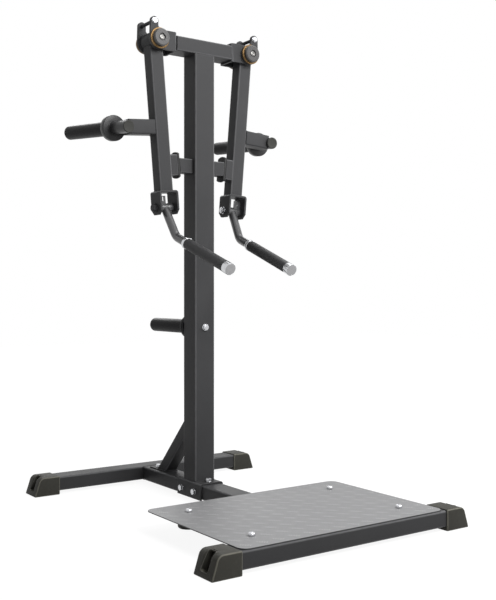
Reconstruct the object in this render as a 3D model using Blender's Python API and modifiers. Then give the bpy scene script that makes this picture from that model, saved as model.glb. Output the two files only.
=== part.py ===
"""Standing lateral raise machine.

A post on an H-shaped base carries two swing arms. Each arm hangs from a pivot beside the
top of the post, leans in with a striker block on a rubber bumper, carries a plate horn on
its outer side and ends in a clevis with a hinged hand grip. The person stands on the tread
plate in front.

Metres, +Z up, the front of the machine towards -Y. The origin is on the floor, under the
middle of the footprint. Sizes below are measured from the post's axis unless they say
otherwise, and everything hangs from one empty that stands where the post's axis meets
the floor.
"""

import math

import bmesh
import bpy
from mathutils import Vector

# Clearance between pieces that touch
GAP = 0.0003
# How far a welded shape is sunk into the shape that it is joined to
SINK = 0.001
# Half the length of the guides that cut holes across the machine
HOLE_REACH = 0.06
# How far the guides that shape a plate or an end reach past it
GUIDE_REACH = 0.1
OUTLINE_MARGIN = 0.01

# Base
TUBE_SPACING = 1.1466
POST_SETBACK = 0.1954
CROSS_TUBE_REACH = 0.420
BASE_TUBE_WIDTH = 0.080
BASE_TUBE_HEIGHT = 0.050
BASE_TUBE_WALL = 0.003
BASE_TUBE_CORNER = 0.0065
TUBE_UNDERSIDE = 0.0125
TUBE_TOP = TUBE_UNDERSIDE + BASE_TUBE_HEIGHT
TUBE_MIDDLE = TUBE_UNDERSIDE + BASE_TUBE_HEIGHT / 2
FRONT_TUBE_Y = -TUBE_SPACING / 2 - POST_SETBACK
REAR_TUBE_Y = TUBE_SPACING / 2 - POST_SETBACK

# Rubber feet over the ends of the cross tubes
FOOT_INNER = 0.377
FOOT_OUTER = 0.472
FOOT_DEPTH = 0.0905
FOOT_HEIGHT = 0.0655
FOOT_SHOULDER = 0.022
FOOT_SLOPE = 0.0155
FOOT_POCKET_END = 0.4205
FOOT_LEAN = math.atan(FOOT_SLOPE / (FOOT_HEIGHT - FOOT_SHOULDER))
FOOT_SLOT_WIDTH = 0.034
FOOT_SLOT_LOW = 0.016
FOOT_SLOT_HIGH = 0.0750
FOOT_SLOT_DEPTH = 0.026
FOOT_SLOT_CORNER = 0.008
FOOT_EDGE = 0.003

# Post and the saddle that it stands on
POST_SIDE = 0.080
POST_WALL = 0.0035
POST_CORNER = 0.006
POST_TOP = 1.5515
SADDLE_PLATE = 0.0057
SADDLE_TOP = TUBE_TOP + GAP + SADDLE_PLATE
SADDLE_BOTTOM = 0.011
SADDLE_FRONT = -0.083
SADDLE_REAR = 0.071
SADDLE_BEND = 0.009
SADDLE_BOLT_Y = 0.042
SADDLE_BOLT_Z = 0.036
SADDLE_TOP_BOLT_Y = -0.0625

# Upright bolts into the base's tubes, and the guides that cut their holes
BASE_BOLT_END = 0.045
BASE_HOLE_LOW = 0.03
BASE_HOLE_HIGH = 0.08

# Rear brace
BRACE_ANGLE = math.radians(46.5)
BRACE_WIDTH = 0.050
BRACE_THICKNESS = 0.045
BRACE_WALL = 0.003
BRACE_CORNER = 0.005
BRACE_LENGTH = 0.6
BRACE_REGION_HALF_WIDTH = 0.05
BRACE_REGION_REAR = 0.4
BRACE_REGION_TOP = 0.5
BRACE_FOOT_Y = 0.223
BRACE_PLATE_FRONT = 0.191
BRACE_PLATE_REAR = 0.305
BRACE_PLATE_WIDTH = 0.053
BRACE_PLATE_TOP = 0.0665
BRACE_BOLT_Y = 0.285

# Tread plate
TREAD_WIDTH = 0.744
TREAD_FRONT = -0.8051
TREAD_REAR = -0.2847
TREAD_CORNER = 0.027
TREAD_THICKNESS = 0.003
TREAD_BOLT_X = 0.276
TREAD_BOLT_FRONT_Y = -0.709
TREAD_BOLT_REAR_Y = -0.383
TREAD_BOLT_RADIUS = 0.0045
TREAD_BOLT_END = 0.042
TREAD_HEAD_RADIUS = 0.0098
TREAD_HEAD_HEIGHT = 0.010
TREAD_HEAD_BEVEL = 0.002
TREAD_POST_RADIUS = 0.033
TREAD_POST_BOTTOM = 0.019
TREAD_POST_ROUNDING = 0.006
TREAD_SOCKET_BOTTOM = 0.035
TAB_HALF_WIDTH = 0.025
TAB_THICKNESS = 0.006
TAB_CORNER = 0.004

# Crossbeam and pivots
BEAM_HALF_LENGTH = 0.112
BEAM_HEIGHT = 0.050
BEAM_DEPTH = 0.080
BEAM_WALL = 0.003
BEAM_CORNER = 0.005
PIVOT_X = 0.186
PIVOT_Z = 1.578
BRACKET_WEB = 0.008
BRACKET_FLANGE = 0.007
BRACKET_OUTER_Y = 0.040
BRACKET_BEND = 0.010
BRACKET_INNER_BEND = 0.003
BRACKET_HALF_HEIGHT = 0.0327
EAR_PLATE = 0.008
EAR_RADIUS = 0.035
EAR_TIP_RADIUS = 0.0145
EAR_FILLET = 0.009
STOP_OUT = 0.019
STOP_UP = 0.0565
STOP_RADIUS = 0.006
STOP_HEAD_RADIUS = 0.009
STOP_HEAD_HEIGHT = 0.0055
AXLE_RADIUS = 0.015
BUSH_RADIUS = 0.035
BUSH_OUTER_Y = 0.056
CAP_RADIUS = 0.030
CAP_OUTER_Y = 0.068
CAP_CHAMFER = 0.004
CAP_RECESS_RADIUS = 0.0125
CAP_RECESS_DEPTH = 0.004
CAP_RECESS_SLOPE = 0.001
CAP_SCREW_RADIUS = 0.0085
CAP_SCREW_CHAMFER = 0.001
CAP_SCREW_DROP = 0.0015
HUB_RADIUS = 0.030
HUB_HALF_LENGTH = 0.0325

# Swing arms
ARM_LEAN = math.radians(4.8)
ARM_SIDE = 0.050
ARM_WALL = 0.003
ARM_CORNER = 0.005
ARM_LENGTH = 0.5085

# Plate horns
HORN_DOWN = 0.293
HORN_OUT = 0.136
HORN_TUBE_END = 0.125
HORN_TILT = math.radians(5.0)
HORN_SPLAY = math.radians(3.2)
HORN_FRONT = -0.037
HORN_STUB_RADIUS = 0.021
HORN_COLLAR_FRONT = 0.057
HORN_COLLAR_REAR = 0.079
HORN_COLLAR_RADIUS = 0.0437
HORN_RADIUS = 0.025
HORN_REAR = 0.375
HORN_WALL = 0.0035
HORN_CHAMFER = 0.002
HORN_TUBE_CAP = 0.005
STORAGE_HORN_Z = 0.602
STORAGE_COLLAR_REAR = 0.060
STORAGE_HORN_REAR = 0.310
STORAGE_FLOOR = 0.004
STORAGE_END = 0.006
STORAGE_BOLT_END = 0.075

# Bumpers: a bar from the post, a rubber pad on its end and a striker block on the arm
BUMPER_BAR_Z = 1.162
BUMPER_PAD_Z = 1.158
BUMPER_BAR_HEIGHT = 0.050
BUMPER_BAR_DEPTH = 0.045
BUMPER_BAR_WALL = 0.003
BUMPER_BAR_CORNER = 0.004
BUMPER_PAD_RADIUS = 0.0455
BUMPER_PAD_HALF_DEPTH = 0.0225
BUMPER_PAD_THICKNESS = 0.009
BUMPER_PAD_EDGE = 0.002
BUMPER_REST_GAP = 0.0005
STRIKER_THICKNESS = 0.026
STRIKER_DEPTH = 0.045
STRIKER_HEIGHT = 0.073
STRIKER_CORNER = 0.005
STRIKER_DOWN = (PIVOT_Z - BUMPER_PAD_Z) / math.cos(ARM_LEAN)

# Clevis at the arm's lower end
CLEVIS_WIDTH = 0.073
CLEVIS_FRONT = -0.037
CLEVIS_REAR = 0.028
CLEVIS_PLATE = 0.007
CLEVIS_BOTTOM = 0.590
CLEVIS_CHAMFER = 0.016
CLEVIS_BEND = 0.009
CLEVIS_INNER_BEND = 0.002
PIN_DOWN = 0.5655
PIN_RADIUS = 0.0075
PIN_WASHER_RADIUS = 0.0155
PIN_WASHER_HEIGHT = 0.0025
PIN_HEAD_RADIUS = 0.0135
PIN_HEAD_HEIGHT = 0.010
PIN_NUT_RADIUS = 0.012
PIN_NUT_HEIGHT = 0.010

# Hand grip, measured from its pin
HANDLE_TUBE_RADIUS = 0.0155
HANDLE_ROD_RADIUS = 0.0145
HANDLE_BEND_FORWARD = 0.063
HANDLE_BEND_RADIUS = 0.045
GRIP_SLOPE = math.radians(20.38)
RING_FORWARD = 0.130
RING_DOWN = 0.1283
RING_LENGTH = 0.012
RING_RADIUS = 0.020
GRIP_RADIUS = 0.019
END_CAP_CENTRE = 0.2507
END_CAP_LENGTH = 0.024
END_CAP_RADIUS = 0.0195
END_CAP_FLOOR = 0.003
END_CAP_CHAMFER = 0.0015
RIM_CHAMFER = 0.001
HANDLE_BEND_STEPS = 8
LUG_INNER = 0.001
LUG_OUTER = 0.0265
LUG_FRONT = -0.012
LUG_DEPTH = 0.006
LUG_TOP = 0.0397
LUG_SLOT_OUT = 0.0103
LUG_SLOT_WIDTH = 0.0065
LUG_SLOT_HEIGHT = 0.015
LUG_SLOT_BELOW_TOP = 0.0025
LUG_SLOT_CORNER = 0.002

# Fasteners
M12_RADIUS = 0.006
M12_HEAD_RADIUS = 0.0104
M12_HEAD_HEIGHT = 0.0075
CLEARANCE = 0.0003

ROUND_STEPS = 32
SMALL_STEPS = 16
SIDES = {"left": -1, "right": 1}


def clear_scene():
    for old in list(bpy.data.objects):
        bpy.data.objects.remove(old)


def new_collection(name):
    collection = bpy.data.collections.new(name)
    bpy.context.scene.collection.children.link(collection)
    return collection


def material(name, colour, metallic, roughness):
    """A plain Principled material; the colour is given as screen values from 0 to 255."""
    made = bpy.data.materials.new(name)
    made.use_nodes = True
    shader = made.node_tree.nodes["Principled BSDF"]
    linear = [(value / 255) ** 2.2 for value in colour]
    shader.inputs["Base Color"].default_value = (*linear, 1)
    shader.inputs["Metallic"].default_value = metallic
    shader.inputs["Roughness"].default_value = roughness
    made.diffuse_color = (*linear, 1)
    return made


clear_scene()
PARTS = new_collection("standing_lateral_raise_machine")
GUIDES = new_collection("cutters_and_guides")
PAINT = material("charcoal_paint", (72, 72, 73), 0.0, 0.42)
RUBBER = material("foot_rubber", (58, 57, 53), 0.0, 0.75)
PAD_RUBBER = material("bumper_rubber", (96, 96, 96), 0.0, 0.7)
TREAD = material("tread_plate_paint", (128, 128, 130), 0.0, 0.5)
ZINC = material("zinc_plated_steel", (196, 198, 202), 1.0, 0.3)
BRONZE = material("bronze", (168, 132, 84), 1.0, 0.35)
BLACK = material("black_cap", (34, 34, 35), 0.0, 0.45)
GRIP = material("knurled_black_steel", (46, 46, 48), 0.3, 0.5)
CHROME = material("chrome", (205, 207, 210), 1.0, 0.15)


def add_empty(name, location, rotation=(0, 0, 0), parent=None):
    empty = bpy.data.objects.new(name, None)
    empty.empty_display_size = 0.05
    empty.location = location
    empty.rotation_euler = rotation
    empty.parent = parent
    PARTS.objects.link(empty)
    return empty


def add_mesh(name, bm):
    """An object from a bmesh, smooth on its round faces and sharp on its corners."""
    bmesh.ops.recalc_face_normals(bm, faces=bm.faces)
    mesh = bpy.data.meshes.new(name)
    bm.to_mesh(mesh)
    bm.free()
    mesh.shade_smooth()
    mesh.set_sharp_from_angle(angle=math.radians(32))
    made = bpy.data.objects.new(name, mesh)
    PARTS.objects.link(made)
    return made


def mesh_from_curve(name, curve):
    """Turn a curve into a closed mesh with its caps welded on."""
    drawn = bpy.data.objects.new(name + "_curve", curve)
    PARTS.objects.link(drawn)
    depsgraph = bpy.context.evaluated_depsgraph_get()
    mesh = bpy.data.meshes.new_from_object(drawn.evaluated_get(depsgraph))
    bpy.data.objects.remove(drawn)
    bm = bmesh.new()
    bm.from_mesh(mesh)
    bmesh.ops.remove_doubles(bm, verts=bm.verts, dist=0.00001)
    return add_mesh(name, bm)


def poly_spline(curve, points, closed):
    spline = curve.splines.new("POLY")
    spline.points.add(len(points) - 1)
    for place, point in zip(spline.points, points):
        place.co = (*point, 0, 1) if len(point) == 2 else (*point, 1)
    spline.use_cyclic_u = closed


def prism(name, outline, depth):
    """A flat outline drawn in XY and made depth thick about Z = 0."""
    bm = bmesh.new()
    face = bm.faces.new([bm.verts.new((*point, -depth / 2)) for point in outline])
    grown = bmesh.ops.extrude_face_region(bm, geom=[face])
    raised = [item for item in grown["geom"] if isinstance(item, bmesh.types.BMVert)]
    bmesh.ops.translate(bm, vec=(0, 0, depth), verts=raised)
    return add_mesh(name, bm)


def hollow_prism(name, outlines, depth):
    """The same with a hole through it: the outer outline first, then the hole's."""
    curve = bpy.data.curves.new(name, "CURVE")
    curve.dimensions = "2D"
    curve.fill_mode = "BOTH"
    curve.extrude = depth / 2
    for outline in outlines:
        poly_spline(curve, outline, True)
    return mesh_from_curve(name, curve)


def rod(name, points, radius, resolution):
    """A round bar along the points."""
    curve = bpy.data.curves.new(name, "CURVE")
    curve.dimensions = "3D"
    curve.bevel_depth = radius
    curve.bevel_resolution = resolution
    curve.use_fill_caps = True
    poly_spline(curve, points, False)
    return mesh_from_curve(name, curve)


def box(name, low, high):
    """A box from its lowest corner to its highest."""
    bm = bmesh.new()
    bmesh.ops.create_cube(bm, size=1)
    size = Vector(high) - Vector(low)
    middle = (Vector(high) + Vector(low)) / 2
    bmesh.ops.scale(bm, vec=size, verts=bm.verts)
    bmesh.ops.translate(bm, vec=middle, verts=bm.verts)
    return add_mesh(name, bm)


def cylinder(name, radius, low, high, steps=ROUND_STEPS):
    """A round bar on Z from low to high; six steps make a hexagon."""
    bm = bmesh.new()
    bmesh.ops.create_cone(
        bm, cap_ends=True, segments=steps, radius1=radius, radius2=radius, depth=high - low
    )
    bmesh.ops.translate(bm, vec=(0, 0, (low + high) / 2), verts=bm.verts)
    return add_mesh(name, bm)


def turned(name, profile, closed=False, steps=ROUND_STEPS):
    """A shape turned about Z from (radius, height) points that run down its outer side."""
    mesh = bpy.data.meshes.new(name)
    points = [(radius, 0, height) for radius, height in profile]
    edges = [(i, i + 1) for i in range(len(points) - 1)]
    if closed:
        edges.append((len(points) - 1, 0))
    mesh.from_pydata(points, edges, [])
    made = bpy.data.objects.new(name, mesh)
    PARTS.objects.link(made)
    screw = made.modifiers.new("Turn", "SCREW")
    screw.axis = "Z"
    screw.angle = math.tau
    screw.steps = steps
    screw.render_steps = steps
    screw.use_merge_vertices = True
    screw.merge_threshold = 0.00001
    screw.use_smooth_shade = True
    return made


def place(made, location=(0, 0, 0), rotation=(0, 0, 0), parent=None):
    made.location = location
    made.rotation_euler = rotation
    made.parent = parent
    return made


def paint(made, finish):
    made.data.materials.clear()
    made.data.materials.append(finish)
    return made


def boolean(made, tool, operation):
    """Cut, join or trim a piece by a guide, which is left out of the finished object."""
    PARTS.objects.unlink(tool)
    GUIDES.objects.link(tool)
    tool.hide_render = True
    tool.display_type = "WIRE"
    change = made.modifiers.new(operation.title(), "BOOLEAN")
    change.operation = operation
    change.object = tool


def cut(made, *tools):
    for tool in tools:
        boolean(made, tool, "DIFFERENCE")


def join(made, *tools):
    for tool in tools:
        boolean(made, tool, "UNION")


def trim(made, tool):
    boolean(made, tool, "INTERSECT")


def bevel(made, width, segments=2, degrees=40):
    rounding = made.modifiers.new("Rounded edges", "BEVEL")
    rounding.width = width
    rounding.segments = segments
    rounding.limit_method = "ANGLE"
    rounding.angle_limit = math.radians(degrees)


def arc(centre, radius, start, end, steps):
    """Points on an arc, from one angle to the other, both included."""
    points = []
    for i in range(steps + 1):
        angle = start + (end - start) * i / steps
        points.append((centre[0] + radius * math.cos(angle), centre[1] + radius * math.sin(angle)))
    return points


def rounded_rectangle(width, height, radius, steps=3, centre=(0, 0)):
    points = []
    corners = ((1, 1), (-1, 1), (-1, -1), (1, -1))
    for turn, (right, up) in enumerate(corners):
        middle = (
            centre[0] + right * (width / 2 - radius),
            centre[1] + up * (height / 2 - radius),
        )
        start = turn * math.pi / 2
        points += arc(middle, radius, start, start + math.pi / 2, steps)
    return points


def tube_section(width, height, wall, radius):
    """The outline of a square tube and of the hollow in it."""
    inner_radius = max(radius - wall, 0.001)
    return [
        rounded_rectangle(width, height, radius),
        rounded_rectangle(width - 2 * wall, height - 2 * wall, inner_radius, 2),
    ]


def mirrored(points, side):
    return [(side * x, y) for x, y in points]


def through_bolt(name, radius, head_radius, grip_low, grip_high, head, nut):
    """A bolt on Z: its shank, a six-sided head above the grip and a nut below it."""
    bolt = cylinder(name, radius, grip_low - SINK, grip_high + SINK, SMALL_STEPS)
    if head:
        join(bolt, cylinder(name + "_head", head_radius, grip_high, grip_high + head, 6))
    if nut:
        join(bolt, cylinder(name + "_nut", head_radius, grip_low - nut, grip_low, 6))
    return bolt


def place_all(pieces, location, rotation, parent):
    for piece in pieces:
        place(piece, location, rotation, parent)


def guides_of(made):
    return [change.object for change in made.modifiers if change.type == "BOOLEAN"]


def set_down(made, location, rotation, parent):
    """Place a piece together with the guides that were drawn in its own frame."""
    place_all([made] + guides_of(made), location, rotation, parent)
    return made


ALONG_X = (0, math.pi / 2, 0)
ALONG_Y = (-math.pi / 2, 0, 0)
UPRIGHT = (math.pi / 2, 0, 0)
FACING_X = (math.pi / 2, 0, math.pi / 2)


def build_cross_tubes(root):
    for name, y in (("front_cross_tube", FRONT_TUBE_Y), ("rear_cross_tube", REAR_TUBE_Y)):
        section = tube_section(
            BASE_TUBE_HEIGHT, BASE_TUBE_WIDTH, BASE_TUBE_WALL, BASE_TUBE_CORNER
        )
        tube = hollow_prism(name, section, 2 * CROSS_TUBE_REACH)
        place(tube, (0, y, TUBE_MIDDLE), ALONG_X, root)
        paint(tube, PAINT)


def foot_outline(side):
    """The foot from the side: flat underneath, with a round shoulder and a sloped end."""
    shoulder = (FOOT_OUTER - FOOT_SLOPE - FOOT_SHOULDER, FOOT_HEIGHT - FOOT_SHOULDER)
    outline = [(FOOT_INNER, 0), (FOOT_OUTER, 0)]
    outline += arc(shoulder, FOOT_SHOULDER, FOOT_LEAN, math.pi / 2, 7)
    outline.append((FOOT_INNER, FOOT_HEIGHT))
    return mirrored(outline, side)


def build_feet(root):
    for end, tube_y in (("front", FRONT_TUBE_Y), ("rear", REAR_TUBE_Y)):
        for hand, side in SIDES.items():
            name = "foot_" + end + "_" + hand
            foot = prism(name, foot_outline(side), FOOT_DEPTH)
            bevel(foot, FOOT_EDGE)
            pocket = box(
                name + "_pocket",
                (-FOOT_POCKET_END, TUBE_UNDERSIDE - GAP, -BASE_TUBE_WIDTH / 2 - GAP),
                (FOOT_POCKET_END, TUBE_TOP + GAP, BASE_TUBE_WIDTH / 2 + GAP),
            )
            slot_height = FOOT_SLOT_HIGH - FOOT_SLOT_LOW
            slot_outline = rounded_rectangle(FOOT_SLOT_WIDTH, slot_height, FOOT_SLOT_CORNER, 4)
            slot = prism(name + "_slot", slot_outline, 2 * FOOT_SLOT_DEPTH)
            cut(foot, pocket, slot)
            set_down(foot, (0, tube_y, 0), UPRIGHT, root)
            toe_place = (side * FOOT_OUTER, tube_y, 0)
            toe = add_empty(name + "_toe", toe_place, (0, -side * FOOT_LEAN, 0), root)
            place(slot, (0, 0, FOOT_SLOT_LOW + slot_height / 2), FACING_X, toe)
            paint(foot, RUBBER)


def bolt_hole(name, x, y, radius=M12_RADIUS + CLEARANCE):
    return place(cylinder(name, radius, BASE_HOLE_LOW, BASE_HOLE_HIGH, SMALL_STEPS), (x, y, 0))


def build_spine(root):
    front = FRONT_TUBE_Y + BASE_TUBE_WIDTH / 2 + GAP
    rear = REAR_TUBE_Y - BASE_TUBE_WIDTH / 2 - GAP
    section = tube_section(BASE_TUBE_WIDTH, BASE_TUBE_HEIGHT, BASE_TUBE_WALL, BASE_TUBE_CORNER)
    spine = hollow_prism("base_spine", section, rear - front)
    place(spine, (0, (front + rear) / 2, TUBE_MIDDLE), ALONG_Y, root)
    for end, y in (("front", -SADDLE_BOLT_Y), ("rear", SADDLE_BOLT_Y)):
        hole = cylinder(
            "spine_side_hole_" + end, M12_RADIUS + CLEARANCE, -HOLE_REACH, HOLE_REACH, SMALL_STEPS
        )
        cut(spine, hole)
        place(hole, (0, y, SADDLE_BOLT_Z), ALONG_X, root)
    for name, y in (("saddle", SADDLE_TOP_BOLT_Y), ("brace", BRACE_BOLT_Y)):
        hole = bolt_hole("spine_top_hole_" + name, 0, y)
        hole.parent = root
        cut(spine, hole)
    paint(spine, PAINT)


def build_saddle(root):
    half = BASE_TUBE_WIDTH / 2 + GAP
    outer = half + SADDLE_PLATE
    bend = SADDLE_BEND
    inner_bend = bend - SADDLE_PLATE
    inner_top = SADDLE_TOP - SADDLE_PLATE
    outline = [(outer, SADDLE_BOTTOM)]
    outline += arc((outer - bend, SADDLE_TOP - bend), bend, 0, math.pi / 2, 4)
    outline += arc((bend - outer, SADDLE_TOP - bend), bend, math.pi / 2, math.pi, 4)
    outline += [(-outer, SADDLE_BOTTOM), (-half, SADDLE_BOTTOM)]
    outline += arc((inner_bend - half, inner_top - inner_bend), inner_bend, math.pi, math.pi / 2, 2)
    outline += arc((half - inner_bend, inner_top - inner_bend), inner_bend, math.pi / 2, 0, 2)
    outline.append((half, SADDLE_BOTTOM))
    saddle = prism("column_saddle", outline, SADDLE_REAR - SADDLE_FRONT)
    place(saddle, (0, (SADDLE_FRONT + SADDLE_REAR) / 2, 0), UPRIGHT, root)
    for end, y in (("front", -SADDLE_BOLT_Y), ("rear", SADDLE_BOLT_Y)):
        hole = cylinder(
            "saddle_side_hole_" + end, M12_RADIUS + CLEARANCE, -HOLE_REACH, HOLE_REACH, SMALL_STEPS
        )
        cut(saddle, hole)
        place(hole, (0, y, SADDLE_BOLT_Z), ALONG_X, root)
    top_hole = bolt_hole("saddle_top_hole", 0, SADDLE_TOP_BOLT_Y)
    top_hole.parent = root
    cut(saddle, top_hole)
    paint(saddle, PAINT)

    for end, y in (("front", -SADDLE_BOLT_Y), ("rear", SADDLE_BOLT_Y)):
        bolt = through_bolt(
            "saddle_bolt_" + end,
            M12_RADIUS,
            M12_HEAD_RADIUS,
            -outer - GAP,
            outer + GAP,
            M12_HEAD_HEIGHT,
            M12_HEAD_HEIGHT,
        )
        set_down(bolt, (0, y, SADDLE_BOLT_Z), ALONG_X, root)
        paint(bolt, ZINC)
    bolt = through_bolt(
        "saddle_top_bolt",
        M12_RADIUS,
        M12_HEAD_RADIUS,
        BASE_BOLT_END,
        SADDLE_TOP + GAP,
        M12_HEAD_HEIGHT,
        0,
    )
    set_down(bolt, (0, SADDLE_TOP_BOLT_Y, 0), (0, 0, 0), root)
    paint(bolt, ZINC)


def build_post(root):
    low = SADDLE_TOP + GAP
    high = POST_TOP - GAP
    section = tube_section(POST_SIDE, POST_SIDE, POST_WALL, POST_CORNER)
    post = hollow_prism("column", section, high - low)
    place(post, (0, 0, (low + high) / 2), (0, 0, 0), root)
    hole = cylinder("column_hole", M12_RADIUS + CLEARANCE, -HOLE_REACH, HOLE_REACH, SMALL_STEPS)
    cut(post, hole)
    place(hole, (0, 0, STORAGE_HORN_Z), ALONG_Y, root)
    paint(post, PAINT)


def build_storage_horn(root):
    front = POST_SIDE / 2 + GAP
    hole = M12_RADIUS + CLEARANCE
    bore = HORN_RADIUS - HORN_WALL
    profile = [
        (0, STORAGE_HORN_REAR),
        (HORN_RADIUS - HORN_CHAMFER, STORAGE_HORN_REAR),
        (HORN_RADIUS, STORAGE_HORN_REAR - HORN_CHAMFER),
        (HORN_RADIUS, STORAGE_COLLAR_REAR),
        (HORN_COLLAR_RADIUS - HORN_CHAMFER, STORAGE_COLLAR_REAR),
        (HORN_COLLAR_RADIUS, STORAGE_COLLAR_REAR - HORN_CHAMFER),
        (HORN_COLLAR_RADIUS, front + HORN_CHAMFER),
        (HORN_COLLAR_RADIUS - HORN_CHAMFER, front),
        (hole, front),
        (hole, STORAGE_COLLAR_REAR + STORAGE_FLOOR),
        (bore, STORAGE_COLLAR_REAR + STORAGE_FLOOR),
        (bore, STORAGE_HORN_REAR - STORAGE_END),
        (0, STORAGE_HORN_REAR - STORAGE_END),
    ]
    horn = turned("storage_horn", profile)
    place(horn, (0, 0, STORAGE_HORN_Z), ALONG_Y, root)
    paint(horn, PAINT)
    bolt = cylinder("storage_horn_bolt", M12_RADIUS, -front - SINK, STORAGE_BOLT_END, SMALL_STEPS)
    head = cylinder(
        "storage_horn_bolt_head", M12_HEAD_RADIUS, -front - M12_HEAD_HEIGHT, -front, 6
    )
    join(bolt, head)
    set_down(bolt, (0, 0, STORAGE_HORN_Z), ALONG_Y, root)
    paint(bolt, ZINC)


def build_brace(root):
    section = tube_section(BRACE_WIDTH, BRACE_THICKNESS, BRACE_WALL, BRACE_CORNER)
    brace = hollow_prism("rear_brace", section, BRACE_LENGTH)
    lean = math.pi / 2 - BRACE_ANGLE
    place(brace, (0, BRACE_FOOT_Y, BRACE_PLATE_TOP), (lean, 0, 0), root)
    region = box(
        "brace_region",
        (-BRACE_REGION_HALF_WIDTH, POST_SIDE / 2 + GAP, BRACE_PLATE_TOP - SINK),
        (BRACE_REGION_HALF_WIDTH, BRACE_REGION_REAR, BRACE_REGION_TOP),
    )
    trim(brace, region)
    plate = box(
        "brace_foot_plate",
        (-BRACE_PLATE_WIDTH / 2, BRACE_PLATE_FRONT, TUBE_TOP + GAP),
        (BRACE_PLATE_WIDTH / 2, BRACE_PLATE_REAR, BRACE_PLATE_TOP),
    )
    join(brace, plate)
    hole = bolt_hole("brace_plate_hole", 0, BRACE_BOLT_Y)
    cut(brace, hole)
    for guide in (region, plate, hole):
        guide.parent = root
    paint(brace, PAINT)
    bolt = through_bolt(
        "brace_foot_bolt",
        M12_RADIUS,
        M12_HEAD_RADIUS,
        BASE_BOLT_END,
        BRACE_PLATE_TOP + GAP,
        M12_HEAD_HEIGHT,
        0,
    )
    set_down(bolt, (0, BRACE_BOLT_Y, 0), (0, 0, 0), root)
    paint(bolt, ZINC)


def build_tread(root):
    low = TUBE_TOP + GAP
    top = low + TREAD_THICKNESS
    middle_y = (TREAD_FRONT + TREAD_REAR) / 2
    outline = rounded_rectangle(TREAD_WIDTH, TREAD_REAR - TREAD_FRONT, TREAD_CORNER, 8)
    tread = prism("tread_plate", outline, TREAD_THICKNESS)
    place(tread, (0, middle_y, (low + top) / 2), (0, 0, 0), root)
    paint(tread, TREAD)
    clearance = TREAD_BOLT_RADIUS + CLEARANCE
    for end, y in (("front", TREAD_BOLT_FRONT_Y), ("rear", TREAD_BOLT_REAR_Y)):
        for hand, side in SIDES.items():
            corner = end + "_" + hand
            x = side * TREAD_BOLT_X
            hole = bolt_hole("tread_hole_" + corner, x, y, clearance)
            hole.parent = root
            cut(tread, hole)
            if end == "rear":
                rounding = TREAD_POST_ROUNDING
                centre = (TREAD_POST_RADIUS - rounding, TREAD_POST_BOTTOM + rounding)
                profile = [(0, TUBE_TOP), (TREAD_POST_RADIUS, TUBE_TOP)]
                profile += arc(centre, rounding, 0, -math.pi / 2, 4)
                profile.append((0, TREAD_POST_BOTTOM))
                mount = turned("platform_post_" + corner, profile)
                socket = cylinder(
                    "platform_post_hole_" + corner,
                    clearance,
                    TREAD_SOCKET_BOTTOM,
                    BASE_HOLE_HIGH,
                    SMALL_STEPS,
                )
                cut(mount, socket)
                set_down(mount, (x, y, 0), (0, 0, 0), root)
                paint(mount, RUBBER)
            else:
                tab_front = FRONT_TUBE_Y + BASE_TUBE_WIDTH / 2 + GAP
                mount = box(
                    "platform_tab_" + corner,
                    (x - TAB_HALF_WIDTH, tab_front, TUBE_TOP - TAB_THICKNESS),
                    (x + TAB_HALF_WIDTH, y + TAB_HALF_WIDTH, TUBE_TOP),
                )
                bevel(mount, TAB_CORNER, 2, 80)
                tab_hole = bolt_hole("platform_tab_hole_" + corner, x, y, clearance)
                cut(mount, tab_hole)
                place_all([mount, tab_hole], (0, 0, 0), (0, 0, 0), root)
                tab_hole.location = (x, y, 0)
                paint(mount, PAINT)
            seat = top + GAP
            bolt_profile = [
                (0, seat + TREAD_HEAD_HEIGHT),
                (TREAD_HEAD_RADIUS - TREAD_HEAD_BEVEL, seat + TREAD_HEAD_HEIGHT),
                (TREAD_HEAD_RADIUS, seat + TREAD_HEAD_HEIGHT - 0.75 * TREAD_HEAD_BEVEL),
                (TREAD_HEAD_RADIUS, seat),
                (TREAD_BOLT_RADIUS, seat),
                (TREAD_BOLT_RADIUS, TREAD_BOLT_END),
                (0, TREAD_BOLT_END),
            ]
            bolt = turned("platform_bolt_" + corner, bolt_profile, steps=SMALL_STEPS)
            place(bolt, (x, y, 0), (0, 0, 0), root)
            paint(bolt, ZINC)


def build_crossbeam(root):
    section = tube_section(BEAM_HEIGHT, BEAM_DEPTH, BEAM_WALL, BEAM_CORNER)
    beam = hollow_prism("crossbeam", section, 2 * (BEAM_HALF_LENGTH - GAP))
    place(beam, (0, 0, POST_TOP + BEAM_HEIGHT / 2), ALONG_X, root)
    paint(beam, PAINT)


def bracket_section(side):
    """The bent plate seen from above, from the beam's end out past the pivot."""
    inner = BEAM_HALF_LENGTH
    end = PIVOT_X + BRACKET_HALF_HEIGHT
    flange = BRACKET_OUTER_Y - BRACKET_FLANGE
    bend = BRACKET_BEND
    inner_bend = BRACKET_INNER_BEND
    web = inner + BRACKET_WEB
    outline = [(end, BRACKET_OUTER_Y)]
    outline += arc((inner + bend, BRACKET_OUTER_Y - bend), bend, math.pi / 2, math.pi, 4)
    outline += arc((inner + bend, bend - BRACKET_OUTER_Y), bend, math.pi, 1.5 * math.pi, 4)
    outline += [(end, -BRACKET_OUTER_Y), (end, -flange)]
    outline += arc((web + inner_bend, inner_bend - flange), inner_bend, 1.5 * math.pi, math.pi, 2)
    outline += arc((web + inner_bend, flange - inner_bend), inner_bend, math.pi, math.pi / 2, 2)
    outline.append((end, flange))
    return mirrored(outline, side)


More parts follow.
